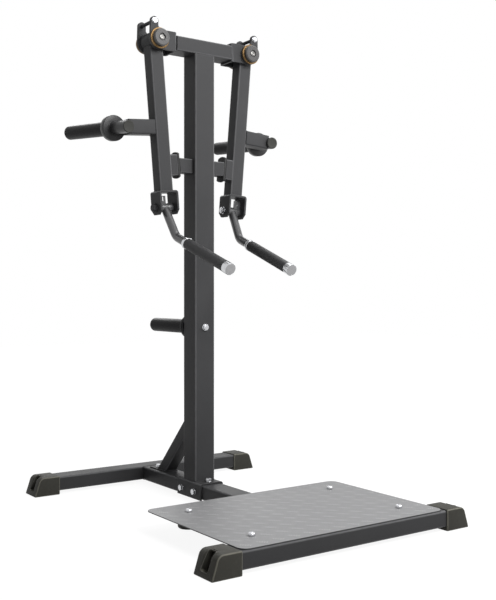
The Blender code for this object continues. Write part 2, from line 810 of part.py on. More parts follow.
def bracket_side(side):
    """The bracket seen from the front: straight edges and a round end about the pivot."""
    half = BRACKET_HALF_HEIGHT
    outline = arc((PIVOT_X, PIVOT_Z), half, -math.pi / 2, math.pi / 2, 10)
    inner = BEAM_HALF_LENGTH - OUTLINE_MARGIN
    outline += [(inner, PIVOT_Z + half), (inner, PIVOT_Z - half)]
    return mirrored(outline, side)


def ear_outline(side):
    """An ear plate: a disc about the pivot and a finger that rises from its outer side."""
    tip = (PIVOT_X + STOP_OUT, PIVOT_Z + STOP_UP)
    fillet_x = tip[0] - EAR_TIP_RADIUS - EAR_FILLET
    reach = EAR_RADIUS + EAR_FILLET
    fillet_z = PIVOT_Z + math.sqrt(reach**2 - (fillet_x - PIVOT_X) ** 2)
    heading = math.atan2(fillet_z - PIVOT_Z, fillet_x - PIVOT_X)
    outline = arc(tip, EAR_TIP_RADIUS, 0, math.pi, 8)
    outline += arc((fillet_x, fillet_z), EAR_FILLET, 0, heading - math.pi, 4)
    outline += arc((PIVOT_X, PIVOT_Z), EAR_RADIUS, heading, math.tau, 18)[1:]
    return mirrored(outline, side)


def build_brackets(root):
    for hand, side in SIDES.items():
        name = "pivot_bracket_" + hand
        bracket = prism(name, bracket_section(side), GUIDE_REACH)
        place(bracket, (0, 0, PIVOT_Z), (0, 0, 0), root)
        silhouette = prism(name + "_silhouette", bracket_side(side), GUIDE_REACH)
        place(silhouette, (0, 0, 0), UPRIGHT, root)
        trim(bracket, silhouette)
        for face, way in (("front", -1), ("rear", 1)):
            ear = prism(name + "_ear_" + face, ear_outline(side), EAR_PLATE + SINK)
            ear_y = way * (BRACKET_OUTER_Y + (EAR_PLATE - SINK) / 2)
            join(bracket, ear)
            place(ear, (0, ear_y, 0), UPRIGHT, root)
        pivot_hole = cylinder(name + "_bore", AXLE_RADIUS + CLEARANCE, -HOLE_REACH, HOLE_REACH)
        stop_hole = cylinder(
            name + "_stop_hole", STOP_RADIUS + CLEARANCE, -HOLE_REACH, HOLE_REACH, SMALL_STEPS
        )
        cut(bracket, pivot_hole, stop_hole)
        place(pivot_hole, (side * PIVOT_X, 0, PIVOT_Z), ALONG_Y, root)
        stop_place = (side * (PIVOT_X + STOP_OUT), 0, PIVOT_Z + STOP_UP)
        place(stop_hole, stop_place, ALONG_Y, root)
        paint(bracket, PAINT)
        grip = BRACKET_OUTER_Y + EAR_PLATE + GAP
        stop = through_bolt(
            "stop_bar_" + hand,
            STOP_RADIUS,
            STOP_HEAD_RADIUS,
            -grip,
            grip,
            STOP_HEAD_HEIGHT,
            STOP_HEAD_HEIGHT,
        )
        set_down(stop, stop_place, ALONG_Y, root)
        paint(stop, ZINC)


def build_bushes(root):
    inner = BRACKET_OUTER_Y + EAR_PLATE + GAP
    outer = BUSH_OUTER_Y
    bore = AXLE_RADIUS + CLEARANCE
    profile = [(bore, outer), (BUSH_RADIUS, outer), (BUSH_RADIUS, inner), (bore, inner)]
    for hand, side in SIDES.items():
        for face, turn in (("front", math.pi / 2), ("rear", -math.pi / 2)):
            bush = turned("pivot_bush_" + face + "_" + hand, profile, closed=True)
            place(bush, (side * PIVOT_X, 0, PIVOT_Z), (turn, 0, 0), root)
            paint(bush, BRONZE)


def build_bumpers(root):
    for hand, side in SIDES.items():
        arm_x = side * (PIVOT_X - math.tan(ARM_LEAN) * (PIVOT_Z - BUMPER_PAD_Z))
        seat_place = (arm_x, 0, BUMPER_PAD_Z)
        seat = add_empty("bumper_seat_" + hand, seat_place, (0, side * ARM_LEAN, 0), root)
        half = math.asin(BUMPER_PAD_HALF_DEPTH / BUMPER_PAD_RADIUS)
        rim = arc((0, 0), BUMPER_PAD_RADIUS, math.pi / 2 - half, math.pi / 2 + half, 8)
        rim += arc((0, 0), BUMPER_PAD_RADIUS, 1.5 * math.pi - half, 1.5 * math.pi + half, 8)
        pad_outer = ARM_SIDE / 2 + STRIKER_THICKNESS + BUMPER_REST_GAP
        pad_inner = pad_outer + BUMPER_PAD_THICKNESS
        pad = prism("bumper_pad_" + hand, rim, BUMPER_PAD_THICKNESS)
        bevel(pad, BUMPER_PAD_EDGE)
        place(pad, (-side * (pad_outer + pad_inner) / 2, 0, 0), FACING_X, seat)
        paint(pad, PAD_RUBBER)

        bar_start = POST_SIDE / 2 + GAP
        bar_end = abs(arm_x)
        section = tube_section(
            BUMPER_BAR_HEIGHT, BUMPER_BAR_DEPTH, BUMPER_BAR_WALL, BUMPER_BAR_CORNER
        )
        bar = hollow_prism("bumper_bar_" + hand, section, bar_end - bar_start)
        place(bar, (side * (bar_start + bar_end) / 2, 0, BUMPER_BAR_Z), ALONG_X, root)
        reach = pad_inner + GAP
        pad_room = box(
            "bumper_pad_room_" + hand,
            (-reach, -GUIDE_REACH, -GUIDE_REACH),
            (reach, GUIDE_REACH, GUIDE_REACH),
        )
        cut(bar, pad_room)
        place(pad_room, (0, 0, 0), (0, 0, 0), seat)
        paint(bar, PAINT)


def build_pivot_caps(arm, hand):
    axle = cylinder(
        "pivot_axle_" + hand, AXLE_RADIUS, -BUSH_OUTER_Y, BUSH_OUTER_Y, ROUND_STEPS
    )
    place(axle, (0, 0, 0), ALONG_Y, arm)
    paint(axle, ZINC)
    inner = BUSH_OUTER_Y + GAP
    screw_top = CAP_OUTER_Y - CAP_SCREW_DROP
    floor = CAP_OUTER_Y - CAP_RECESS_DEPTH
    profile = [
        (0, screw_top),
        (CAP_SCREW_RADIUS - CAP_SCREW_CHAMFER, screw_top),
        (CAP_SCREW_RADIUS, floor),
        (CAP_RECESS_RADIUS - CAP_RECESS_SLOPE, floor),
        (CAP_RECESS_RADIUS, CAP_OUTER_Y),
        (CAP_RADIUS - CAP_CHAMFER, CAP_OUTER_Y),
        (CAP_RADIUS, CAP_OUTER_Y - CAP_CHAMFER),
        (CAP_RADIUS, inner),
        (0, inner),
    ]
    for face, turn in (("front", math.pi / 2), ("rear", -math.pi / 2)):
        cap = turned("pivot_cap_" + face + "_" + hand, profile)
        place(cap, (0, 0, 0), (turn, 0, 0), arm)
        paint(cap, BLACK)


def build_arm_tube(arm, hand, side):
    start = AXLE_RADIUS + SINK
    section = tube_section(ARM_SIDE, ARM_SIDE, ARM_WALL, ARM_CORNER)
    tube = hollow_prism("arm_" + hand, section, ARM_LENGTH - start)
    hub = cylinder("arm_hub_" + hand, HUB_RADIUS, -HUB_HALF_LENGTH, HUB_HALF_LENGTH)
    bore = cylinder("arm_bore_" + hand, AXLE_RADIUS + CLEARANCE, -HOLE_REACH, HOLE_REACH)
    striker_outline = rounded_rectangle(STRIKER_DEPTH, STRIKER_HEIGHT, STRIKER_CORNER)
    striker = prism("arm_striker_" + hand, striker_outline, STRIKER_THICKNESS + SINK)
    join(tube, hub, striker)
    cut(tube, bore)
    place(tube, (0, 0, -(start + ARM_LENGTH) / 2), (0, 0, 0), arm)
    place_all([hub, bore], (0, 0, 0), ALONG_Y, arm)
    striker_x = -side * (ARM_SIDE + STRIKER_THICKNESS - SINK) / 2
    place(striker, (striker_x, 0, -STRIKER_DOWN), FACING_X, arm)
    paint(tube, PAINT)


def horn_profile(shrink):
    """The plate horn's outline, or with a shrink the hollow inside it."""
    return [
        (0, HORN_REAR - 2 * shrink),
        (HORN_RADIUS - HORN_CHAMFER - shrink, HORN_REAR - 2 * shrink),
        (HORN_RADIUS - shrink, HORN_REAR - HORN_CHAMFER - 2 * shrink),
        (HORN_RADIUS - shrink, HORN_COLLAR_REAR + shrink),
    ]


def build_weight_horn(arm, hand, side):
    inner = ARM_SIDE / 2 + GAP
    name = "weight_horn_" + hand
    outline = tube_section(ARM_SIDE, ARM_SIDE, ARM_WALL, ARM_CORNER)[0]
    horn = prism(name, outline, HORN_TUBE_END - inner)
    place(horn, (side * (inner + HORN_TUBE_END) / 2, 0, -HORN_DOWN), ALONG_X, arm)
    outer_profile = horn_profile(0) + [
        (HORN_COLLAR_RADIUS - HORN_CHAMFER, HORN_COLLAR_REAR),
        (HORN_COLLAR_RADIUS, HORN_COLLAR_REAR - HORN_CHAMFER),
        (HORN_COLLAR_RADIUS, HORN_COLLAR_FRONT + HORN_CHAMFER),
        (HORN_COLLAR_RADIUS - HORN_CHAMFER, HORN_COLLAR_FRONT),
        (HORN_STUB_RADIUS, HORN_COLLAR_FRONT),
        (HORN_STUB_RADIUS, HORN_FRONT + HORN_CHAMFER),
        (HORN_STUB_RADIUS - HORN_CHAMFER, HORN_FRONT),
        (0, HORN_FRONT),
    ]
    pipe = turned(name + "_pipe", outer_profile)
    stub_bore = HORN_STUB_RADIUS - HORN_WALL
    hollow_profile = horn_profile(HORN_WALL) + [
        (stub_bore, HORN_COLLAR_REAR + HORN_WALL),
        (stub_bore, HORN_FRONT + 2 * HORN_WALL),
        (0, HORN_FRONT + 2 * HORN_WALL),
    ]
    hollow = turned(name + "_hollow", hollow_profile)
    passage_half = ARM_SIDE / 2 - ARM_WALL
    passage = box(
        name + "_passage",
        (-passage_half, -passage_half, -(HORN_TUBE_END - HORN_TUBE_CAP)),
        (passage_half, passage_half, HORN_TUBE_END - HORN_TUBE_CAP),
    )
    join(horn, pipe)
    cut(horn, hollow, passage)
    turn = (HORN_TILT - math.pi / 2, 0, -side * HORN_SPLAY)
    place_all([pipe, hollow], (side * HORN_OUT, 0, -HORN_DOWN), turn, arm)
    place(passage, (0, 0, -HORN_DOWN), ALONG_X, arm)
    paint(horn, PAINT)


def build_clevis(arm, hand):
    top = ARM_LENGTH + GAP
    half = CLEVIS_WIDTH / 2
    inner = half - CLEVIS_PLATE
    bend = CLEVIS_BEND
    inner_bend = CLEVIS_INNER_BEND
    roof = -top - CLEVIS_PLATE
    outline = [(half, -CLEVIS_BOTTOM)]
    outline += arc((half - bend, -top - bend), bend, 0, math.pi / 2, 5)
    outline += arc((bend - half, -top - bend), bend, math.pi / 2, math.pi, 5)
    outline += [(-half, -CLEVIS_BOTTOM), (-inner, -CLEVIS_BOTTOM)]
    outline += arc((inner_bend - inner, roof - inner_bend), inner_bend, math.pi, math.pi / 2, 2)
    outline += arc((inner - inner_bend, roof - inner_bend), inner_bend, math.pi / 2, 0, 2)
    outline.append((inner, -CLEVIS_BOTTOM))
    name = "clevis_" + hand
    clevis = prism(name, outline, GUIDE_REACH)
    place(clevis, (0, 0, 0), UPRIGHT, arm)
    chamfer = CLEVIS_CHAMFER
    side_outline = [
        (CLEVIS_REAR, OUTLINE_MARGIN - top),
        (CLEVIS_FRONT, OUTLINE_MARGIN - top),
        (CLEVIS_FRONT, chamfer - CLEVIS_BOTTOM),
        (CLEVIS_FRONT + chamfer, -CLEVIS_BOTTOM),
        (CLEVIS_REAR - chamfer, -CLEVIS_BOTTOM),
        (CLEVIS_REAR, chamfer - CLEVIS_BOTTOM),
    ]
    silhouette = prism(name + "_silhouette", side_outline, GUIDE_REACH)
    trim(clevis, silhouette)
    place(silhouette, (0, 0, 0), FACING_X, arm)
    pin_hole = cylinder(
        name + "_pin_hole", PIN_RADIUS + CLEARANCE, -HOLE_REACH, HOLE_REACH, SMALL_STEPS
    )
    cut(clevis, pin_hole)
    place(pin_hole, (0, 0, -PIN_DOWN), ALONG_X, arm)
    paint(clevis, PAINT)


def build_pin(arm, hand, side):
    """The handle's bolt, with a large head on the outer side and a nut on the inner one."""
    face = CLEVIS_WIDTH / 2 + GAP
    name = "handle_pin_" + hand
    pin = cylinder(name, PIN_RADIUS, -face - SINK, face + SINK, SMALL_STEPS)
    washer_top = face + PIN_WASHER_HEIGHT
    washer = cylinder(name + "_washer", PIN_WASHER_RADIUS, face, washer_top, SMALL_STEPS)
    head_top = washer_top + PIN_HEAD_HEIGHT
    head = cylinder(name + "_head", PIN_HEAD_RADIUS, washer_top - SINK, head_top, 6)
    nut = cylinder(name + "_nut", PIN_NUT_RADIUS, -face - PIN_NUT_HEIGHT, -face, 6)
    join(pin, washer, head, nut)
    set_down(pin, (0, 0, -PIN_DOWN), (0, side * math.pi / 2, 0), arm)
    paint(pin, ZINC)


def handle_path():
    """The handle's bar, from its pin down and forward through one bend along the grip."""
    fall = math.tan(GRIP_SLOPE)
    vertex_z = (RING_FORWARD - HANDLE_BEND_FORWARD) * fall - RING_DOWN
    vertex = Vector((0, -HANDLE_BEND_FORWARD, vertex_z))
    first = vertex.normalized()
    along = Vector((0, -math.cos(GRIP_SLOPE), -math.sin(GRIP_SLOPE)))
    turn = first.angle(along)
    reach = HANDLE_BEND_RADIUS * math.tan(turn / 2)
    start = vertex - first * reach
    inward = (along - first * first.dot(along)).normalized()
    centre = start + inward * HANDLE_BEND_RADIUS
    points = [Vector((0, 0, 0))]
    for i in range(HANDLE_BEND_STEPS + 1):
        angle = turn * i / HANDLE_BEND_STEPS
        points.append(
            centre + HANDLE_BEND_RADIUS * (first * math.sin(angle) - inward * math.cos(angle))
        )
    ring = Vector((0, -RING_FORWARD, -RING_DOWN))
    points.append(ring + along * (END_CAP_CENTRE + END_CAP_LENGTH / 2 - END_CAP_FLOOR))
    return [tuple(point) for point in points]


def sleeve_profile(radius, bore, low, high, chamfer):
    return [
        (bore, high),
        (radius - chamfer, high),
        (radius, high - chamfer),
        (radius, low + chamfer),
        (radius - chamfer, low),
        (bore, low),
    ]


def build_handle(arm, hand, side):
    hinge = add_empty("handle_hinge_" + hand, (0, 0, -PIN_DOWN), (0, 0, 0), arm)
    length = CLEVIS_WIDTH / 2 - CLEVIS_PLATE - GAP
    name = "handle_" + hand
    handle = rod(name, handle_path(), HANDLE_ROD_RADIUS, 4)
    tube = cylinder(name + "_tube", HANDLE_TUBE_RADIUS, -length, length)
    bore = cylinder(name + "_bore", PIN_RADIUS + CLEARANCE, -HOLE_REACH, HOLE_REACH, SMALL_STEPS)
    lug_low = PIN_RADIUS + SINK
    lug = box(
        name + "_lug",
        (min(side * LUG_INNER, side * LUG_OUTER), LUG_FRONT, lug_low),
        (max(side * LUG_INNER, side * LUG_OUTER), LUG_FRONT + LUG_DEPTH, LUG_TOP),
    )
    slot_outline = rounded_rectangle(LUG_SLOT_WIDTH, LUG_SLOT_HEIGHT, LUG_SLOT_CORNER)
    slot = prism(name + "_lug_slot", slot_outline, 2 * LUG_DEPTH)
    join(handle, tube, lug)
    cut(handle, bore, slot)
    place_all([handle, lug], (0, 0, 0), (0, 0, 0), hinge)
    slot_z = LUG_TOP - LUG_SLOT_BELOW_TOP - LUG_SLOT_HEIGHT / 2
    place(slot, (side * LUG_SLOT_OUT, LUG_FRONT + LUG_DEPTH / 2, slot_z), UPRIGHT, hinge)
    place_all([tube, bore], (0, 0, 0), ALONG_X, hinge)
    paint(handle, PAINT)

    ring_place = (0, -RING_FORWARD, -RING_DOWN)
    turn = (math.pi / 2 + GRIP_SLOPE, 0, 0)
    bore_radius = HANDLE_ROD_RADIUS + CLEARANCE
    ring_half = RING_LENGTH / 2
    cap_low = END_CAP_CENTRE - END_CAP_LENGTH / 2
    cap_high = END_CAP_CENTRE + END_CAP_LENGTH / 2
    ring = turned(
        "grip_collar_" + hand,
        sleeve_profile(RING_RADIUS, bore_radius, -ring_half, ring_half, RIM_CHAMFER),
        closed=True,
    )
    grip_low = ring_half + GAP
    grip_high = cap_low - GAP
    grip_profile = [
        (bore_radius, grip_high),
        (GRIP_RADIUS, grip_high),
        (GRIP_RADIUS, grip_low),
        (bore_radius, grip_low),
    ]
    grip = turned("handle_grip_" + hand, grip_profile, closed=True)
    cap_profile = [
        (0, cap_high),
        (END_CAP_RADIUS - END_CAP_CHAMFER, cap_high),
        (END_CAP_RADIUS, cap_high - END_CAP_CHAMFER),
        (END_CAP_RADIUS, cap_low + RIM_CHAMFER),
        (END_CAP_RADIUS - RIM_CHAMFER, cap_low),
        (bore_radius, cap_low),
        (bore_radius, cap_high - END_CAP_FLOOR + GAP),
        (0, cap_high - END_CAP_FLOOR + GAP),
    ]
    cap = turned("grip_end_cap_" + hand, cap_profile)
    for piece, finish in ((ring, CHROME), (grip, GRIP), (cap, CHROME)):
        place(piece, ring_place, turn, hinge)
        paint(piece, finish)


def build_arms(root):
    for hand, side in SIDES.items():
        arm = add_empty(
            "arm_pivot_" + hand, (side * PIVOT_X, 0, PIVOT_Z), (0, side * ARM_LEAN, 0), root
        )
        build_pivot_caps(arm, hand)
        build_arm_tube(arm, hand, side)
        build_weight_horn(arm, hand, side)
        build_clevis(arm, hand)
        build_pin(arm, hand, side)
        build_handle(arm, hand, side)


def main():
    root = add_empty("post_foot", (0, POST_SETBACK, 0))
    build_cross_tubes(root)
    build_feet(root)
    build_spine(root)
    build_saddle(root)
    build_post(root)
    build_storage_horn(root)
    build_brace(root)
    build_tread(root)
    build_crossbeam(root)
    build_brackets(root)
    build_bushes(root)
    build_bumpers(root)
    build_arms(root)


main()
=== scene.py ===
"""Looks for the standing lateral raise machine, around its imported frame.

Round and moulded pieces, fasteners, the knurled grips, the raised bars of the tread
plate and the weld beads are modelled here in finer detail. The plain plates and tubes
stay as they are packed and get a finish.
"""

import math

import bmesh
import bpy
from mathutils import Euler, Matrix, Vector


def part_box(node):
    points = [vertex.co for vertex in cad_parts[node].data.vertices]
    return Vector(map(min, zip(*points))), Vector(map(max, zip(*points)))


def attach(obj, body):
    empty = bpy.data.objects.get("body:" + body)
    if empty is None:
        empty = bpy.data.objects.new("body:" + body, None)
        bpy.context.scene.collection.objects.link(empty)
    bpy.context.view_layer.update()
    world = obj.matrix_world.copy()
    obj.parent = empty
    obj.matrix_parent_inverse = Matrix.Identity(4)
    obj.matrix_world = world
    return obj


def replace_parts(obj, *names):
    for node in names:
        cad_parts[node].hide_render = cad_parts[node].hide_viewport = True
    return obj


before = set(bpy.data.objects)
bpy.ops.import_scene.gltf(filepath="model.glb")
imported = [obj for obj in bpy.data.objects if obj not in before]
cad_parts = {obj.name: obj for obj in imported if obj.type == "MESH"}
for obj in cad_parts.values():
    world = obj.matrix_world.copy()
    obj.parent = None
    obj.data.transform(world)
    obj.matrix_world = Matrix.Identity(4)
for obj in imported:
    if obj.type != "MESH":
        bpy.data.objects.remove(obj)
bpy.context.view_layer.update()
SIDES = {"left": -1, "right": 1}
FACES = {"front": math.pi / 2, "rear": -math.pi / 2}
X, Y, Z = range(3)


def lowest(name):
    """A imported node's lowest corner, to the micrometre."""
    return [round(value, 6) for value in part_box(name)[0]]


def highest(name):
    """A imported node's highest corner, to the micrometre."""
    return [round(value, 6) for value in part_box(name)[1]]


def middle(name):
    """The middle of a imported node's box, to the micrometre."""
    return [round((low + high) / 2, 6) for low, high in zip(lowest(name), highest(name))]


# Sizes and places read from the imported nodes, in metres
POST_Y = middle("column")[Y]
POST_SIDE = 2 * highest("column")[X]
SADDLE_HALF, _, SADDLE_TOP = highest("column_saddle")
TUBE_TOP = highest("base_spine")[Z]
TUBE_LOW = lowest("base_spine")[Z]
TUBE_HALF = highest("base_spine")[X]
FOOT_Y = middle("foot_rear_left")[Y]
TREAD_LOW, TREAD_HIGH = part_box("tread_plate")
TREAD_TOP = highest("tread_plate")[Z]
TREAD_BOLT_X = middle("platform_bolt_front_right")[X]
BOLT_ROWS = {row: middle("platform_bolt_" + row + "_left")[Y] for row in ("front", "rear")}
PIVOT_X, _, PIVOT_Z = middle("pivot_axle_right")
BRACKET_HALF = highest("pivot_bracket_left")[Y] - POST_Y
BUMPER_BAR_Z = middle("bumper_bar_left")[Z]
STORAGE_HORN_Z = middle("storage_horn")[Z]

# Other sizes and angles, as in the part, in metres and radians
ARM_LEAN = math.radians(4.8)
ARM_SIDE = 0.050
ARM_LENGTH = 0.5085
ARM_CORNER = 0.005
HUB_RADIUS = 0.030
HORN_DOWN = 0.293
HORN_OUT = 0.136
HORN_TILT = math.radians(5.0)
HORN_SPLAY = math.radians(3.2)
HORN_STUB_RADIUS = 0.0210
HORN_RADIUS = 0.0250
HORN_FRONT = -0.0370
HORN_COLLAR = (0.0570, 0.0790)
HORN_REAR = 0.375
HORN_TUBE_END = 0.125
STORAGE_COLLAR = (0.0403, 0.0600)
STORAGE_HORN_REAR = 0.310
BUMPER_PAD_Z = 1.158
BUMPER_RADIUS = 0.0455
BUMPER_HALF_DEPTH = 0.0225
BUMPER_THICKNESS = 0.009
BUMPER_GAP = 0.0005
STRIKER_THICKNESS = 0.026
CLEVIS_HALF = 0.0365
CLEVIS_PLATE = 0.007
PIN_DOWN = 0.5655
PIN_RADIUS = 0.0075
LUG_WIDTH = 0.0255
LUG_MIDDLE = 0.01375
LUG_SLOT = (0.0065, 0.015)
LUG_SLOT_OUT = 0.0103
LUG_SLOT_BELOW = 0.0025
LUG_LOW = 0.0085
LUG_TOP = 0.0397
LUG_Y = -0.009
LUG_DEPTH = 0.006
HANDLE_RADIUS = 0.0145
GRIP_SLOPE = math.radians(20.38)
GRIP_RADIUS = 0.0190
RING_FORWARD = 0.130
RING_DOWN = 0.1283
BEND_FORWARD = 0.063
BEND_RADIUS = 0.045
GRIP_LOW = 0.006
GRIP_HIGH = 0.2384
CAP_END = 0.2627
BRACE_LEAN = math.radians(46.5)
BRACE_FOOT_Y = 0.223
BRACE_PLATE_TOP = 0.0665
GAP = 0.0003


def move(x, y, z):
    return Matrix.Translation((x, y, z))


def turn(x, y=0.0, z=0.0):
    return Euler((x, y, z)).to_matrix().to_4x4()


# Turns and places for shapes that are built about the origin, along Z
HERE = Matrix()
POST = move(0, POST_Y, 0)
ALONG_X = turn(0, math.pi / 2, 0)
ALONG_Y = turn(-math.pi / 2, 0, 0)
UPRIGHT = turn(math.pi / 2, 0, 0)
FACING_X = turn(math.pi / 2, 0, math.pi / 2)
ARM = {
    hand: POST @ move(side * PIVOT_X, 0, PIVOT_Z) @ turn(0, side * ARM_LEAN, 0)
    for hand, side in SIDES.items()
}
HORN = {
    hand: ARM[hand] @ move(side * HORN_OUT, 0, -HORN_DOWN)
    @ turn(HORN_TILT - math.pi / 2, 0, -side * HORN_SPLAY)
    for hand, side in SIDES.items()
}
HANDLE = {hand: ARM[hand] @ move(0, 0, -PIN_DOWN) for hand in SIDES}
GRIP = {
    hand: HANDLE[hand] @ move(0, -RING_FORWARD, -RING_DOWN) @ turn(math.pi / 2 + GRIP_SLOPE)
    for hand in SIDES
}


# Materials


class Finish:
    """A material's node tree, with short ways to add and join nodes."""

    def __init__(self, name):
        self.material = bpy.data.materials.new(name)
        self.material.use_nodes = True
        self.tree = self.material.node_tree
        self.shader = self.tree.nodes["Principled BSDF"]
        self.place = self.node("ShaderNodeTexCoord").outputs["Object"]

    def feed(self, socket, value):
        """Link a node's output into a socket, or set the socket to a constant."""
        if isinstance(value, bpy.types.NodeSocket):
            self.tree.links.new(value, socket)
        else:
            socket.default_value = value

    def node(self, kind, values=None, **settings):
        made = self.tree.nodes.new(kind)
        for key, value in settings.items():
            setattr(made, key, value)
        for key, value in (values or {}).items():
            self.feed(made.inputs[key], value)
        return made

    def maths(self, operation, first, second):
        return self.node("ShaderNodeMath", {0: first, 1: second}, operation=operation).outputs[0]

    def noise(self, scale, detail, rough=0.55, distortion=0.0, place=None):
        values = {"Scale": scale, "Detail": detail, "Roughness": rough, "Distortion": distortion}
        values["Vector"] = place or self.place
        return self.node("ShaderNodeTexNoise", values).outputs["Fac"]

    def stretched(self, x, y, z):
        return self.node(
            "ShaderNodeMapping", {"Vector": self.place, "Scale": (x, y, z)}
        ).outputs["Vector"]

    def remap(self, value, low, high, to_low=0.0, to_high=1.0):
        values = {0: value, 1: low, 2: high, 3: to_low, 4: to_high}
        return self.node("ShaderNodeMapRange", values).outputs[0]

    def mix(self, share, first, second):
        factor, first_colour, second_colour, colour_out = 0, 6, 7, 2
        made = self.node("ShaderNodeMix", data_type="RGBA")
        self.feed(made.inputs[factor], share)
        self.feed(made.inputs[first_colour], first)
        self.feed(made.inputs[second_colour], second)
        return made.outputs[colour_out]

    def edges(self, radius, low, high):
        """The rounded normal, and a share: 0 on flat faces, up to 1 at edges within the radius."""
        rounded = self.node("ShaderNodeBevel", {"Radius": radius}, samples=6).outputs["Normal"]
        facing = self.node("ShaderNodeNewGeometry").outputs["Normal"]
        alike = self.node(
            "ShaderNodeVectorMath", {0: rounded, 1: facing}, operation="DOT_PRODUCT"
        ).outputs["Value"]
        return rounded, self.remap(alike, high, low)

    def corners(self, low, high):
        """1 along the rounded edges that mark_corners found, unevenly strong: where a finish paints a
        highlight.
        """
        band = self.node("ShaderNodeAttribute", attribute_name="rounded_edge").outputs["Fac"]
        return self.maths("MULTIPLY", band, self.remap(self.noise(45.0, 4.0), 0.25, 0.75, low, high))

    def bump(self, height, strength, distance, normal=None):
        values = {"Height": height, "Strength": strength, "Distance": distance}
        if normal is not None:
            values["Normal"] = normal
        return self.node("ShaderNodeBump", values).outputs["Normal"]

    def finish(self, colour, roughness, normal=None, metallic=0.0, specular=0.5):
        self.shader.inputs["Metallic"].default_value = metallic
        self.shader.inputs["Specular IOR Level"].default_value = specular
        self.feed(self.shader.inputs["Base Color"], colour)
        self.feed(self.shader.inputs["Roughness"], roughness)
        if normal is not None:
            self.feed(self.shader.inputs["Normal"], normal)
        return self.material


def screen(red, green, blue):
    """A colour given as it shows on screen, 0 to 255."""
    return tuple(((value / 255 + 0.055) / 1.055) ** 2.4 if value > 10 else value / 3294.6
                 for value in (red, green, blue)) + (1.0,)


def shade(colour, factor):
    return tuple(min(1.0, value * factor) for value in colour[:3]) + (1.0,)


# Height up to which a coat is darkened towards the floor, as painted shade.
PAINTED_SHADE_HEIGHT = 0.45


def painted(name, colour, edge_gain=3.0, edge_radius=0.0030, grain=0.00012, roughness=0.42,
            specular=0.09, scuffs=0.20, painted_shade=0.0):
    """Powder coat: orange peel, faint dust and scuffs; paler edges, partly wear and partly painted
    highlight; a painted highlight along rounded corners; painted shade, darker towards the floor.
    """
    look = Finish(name)
    rounded, edge = look.edges(edge_radius, 0.80, 0.995)
    broad = look.noise(5.0, 4.0)
    peel = look.noise(900.0, 2.0)
    speck = look.noise(2600.0, 1.0)
    scuff = look.remap(look.noise(38.0, 6.0, 0.7, 0.4, look.stretched(1, 1, 0.25)), 0.60, 0.74)
    tone = look.mix(broad, shade(colour, 0.86), shade(colour, 1.14))
    tone = look.mix(look.maths("MULTIPLY", speck, 0.8 * scuffs), tone, shade(colour, 1.7))
    tone = look.mix(look.maths("MULTIPLY", scuff, scuffs), tone, shade(colour, 1.6))
    # Paler edges: partly wear, partly painted highlight.
    wear_and_highlight = look.maths("MULTIPLY", edge, look.remap(look.noise(60.0, 4.0), 0.25, 0.75, 0.45, 0.95))
    tone = look.mix(wear_and_highlight, tone, shade(colour, edge_gain))
    # Painted highlight along the rounded corners.
    tone = look.mix(look.corners(0.55, 0.90), tone, shade(colour, 3.2))
    # Painted shade: the coat darkens towards the floor.
    height = look.node("ShaderNodeSeparateXYZ", {"Vector": look.place}).outputs["Z"]
    tone = look.mix(look.remap(height, 0.0, PAINTED_SHADE_HEIGHT, painted_shade, 0.0), tone, shade(colour, 0.20))
    rough = look.remap(broad, 0.3, 0.7, roughness - 0.05, roughness + 0.07)
    rough = look.maths("ADD", rough, look.maths("MULTIPLY", scuff, 0.12))
    normal = look.bump(peel, 0.35, grain, rounded)
    return look.finish(tone, rough, normal, specular=specular)


def moulded(name, colour, edge_gain, edge_radius, roughness):
    """Moulded rubber: matt, finely grained, with a painted highlight along its edges."""
    look = Finish(name)
    rounded, edge = look.edges(edge_radius, 0.72, 0.99)
    broad = look.noise(14.0, 5.0, 0.6)
    grain = look.noise(1500.0, 3.0, 0.7)
    dust = look.remap(look.noise(70.0, 6.0, 0.72), 0.50, 0.75)
    tone = look.mix(broad, shade(colour, 0.80), shade(colour, 1.18))
    tone = look.mix(look.maths("MULTIPLY", dust, 0.22), tone, shade(colour, 2.0))
    # Painted highlight: paler along sharp edges and, by edge_gain, along rounded corners.
    tone = look.mix(look.maths("MULTIPLY", edge, 0.35), tone, shade(colour, 2.2))
    tone = look.mix(look.corners(0.60, 0.95), tone, shade(colour, edge_gain))
    rough = look.remap(grain, 0.3, 0.7, roughness - 0.06, roughness + 0.08)
    return look.finish(tone, rough, look.bump(grain, 0.5, 0.00015, rounded), specular=0.22)


def metal(name, colour, roughness, spread=0.12, edge=0.0006, ridge=0.00004):
    """Bare or plated metal: fine marks, smudges in its tone and gloss, paler edges."""
    look = Finish(name)
    rounded, worn = look.edges(edge, 0.80, 0.995)
    marks = look.noise(700.0, 3.0, 0.6)
    smudge = look.noise(90.0, 5.0, 0.65)
    tone = look.mix(smudge, shade(colour, 0.82), shade(colour, 1.10))
    tone = look.mix(look.maths("MULTIPLY", worn, 0.4), tone, shade(colour, 1.25))
    rough = look.remap(smudge, 0.3, 0.7, roughness, roughness + spread)
    return look.finish(tone, rough, look.bump(marks, 0.25, ridge, rounded), metallic=1.0)


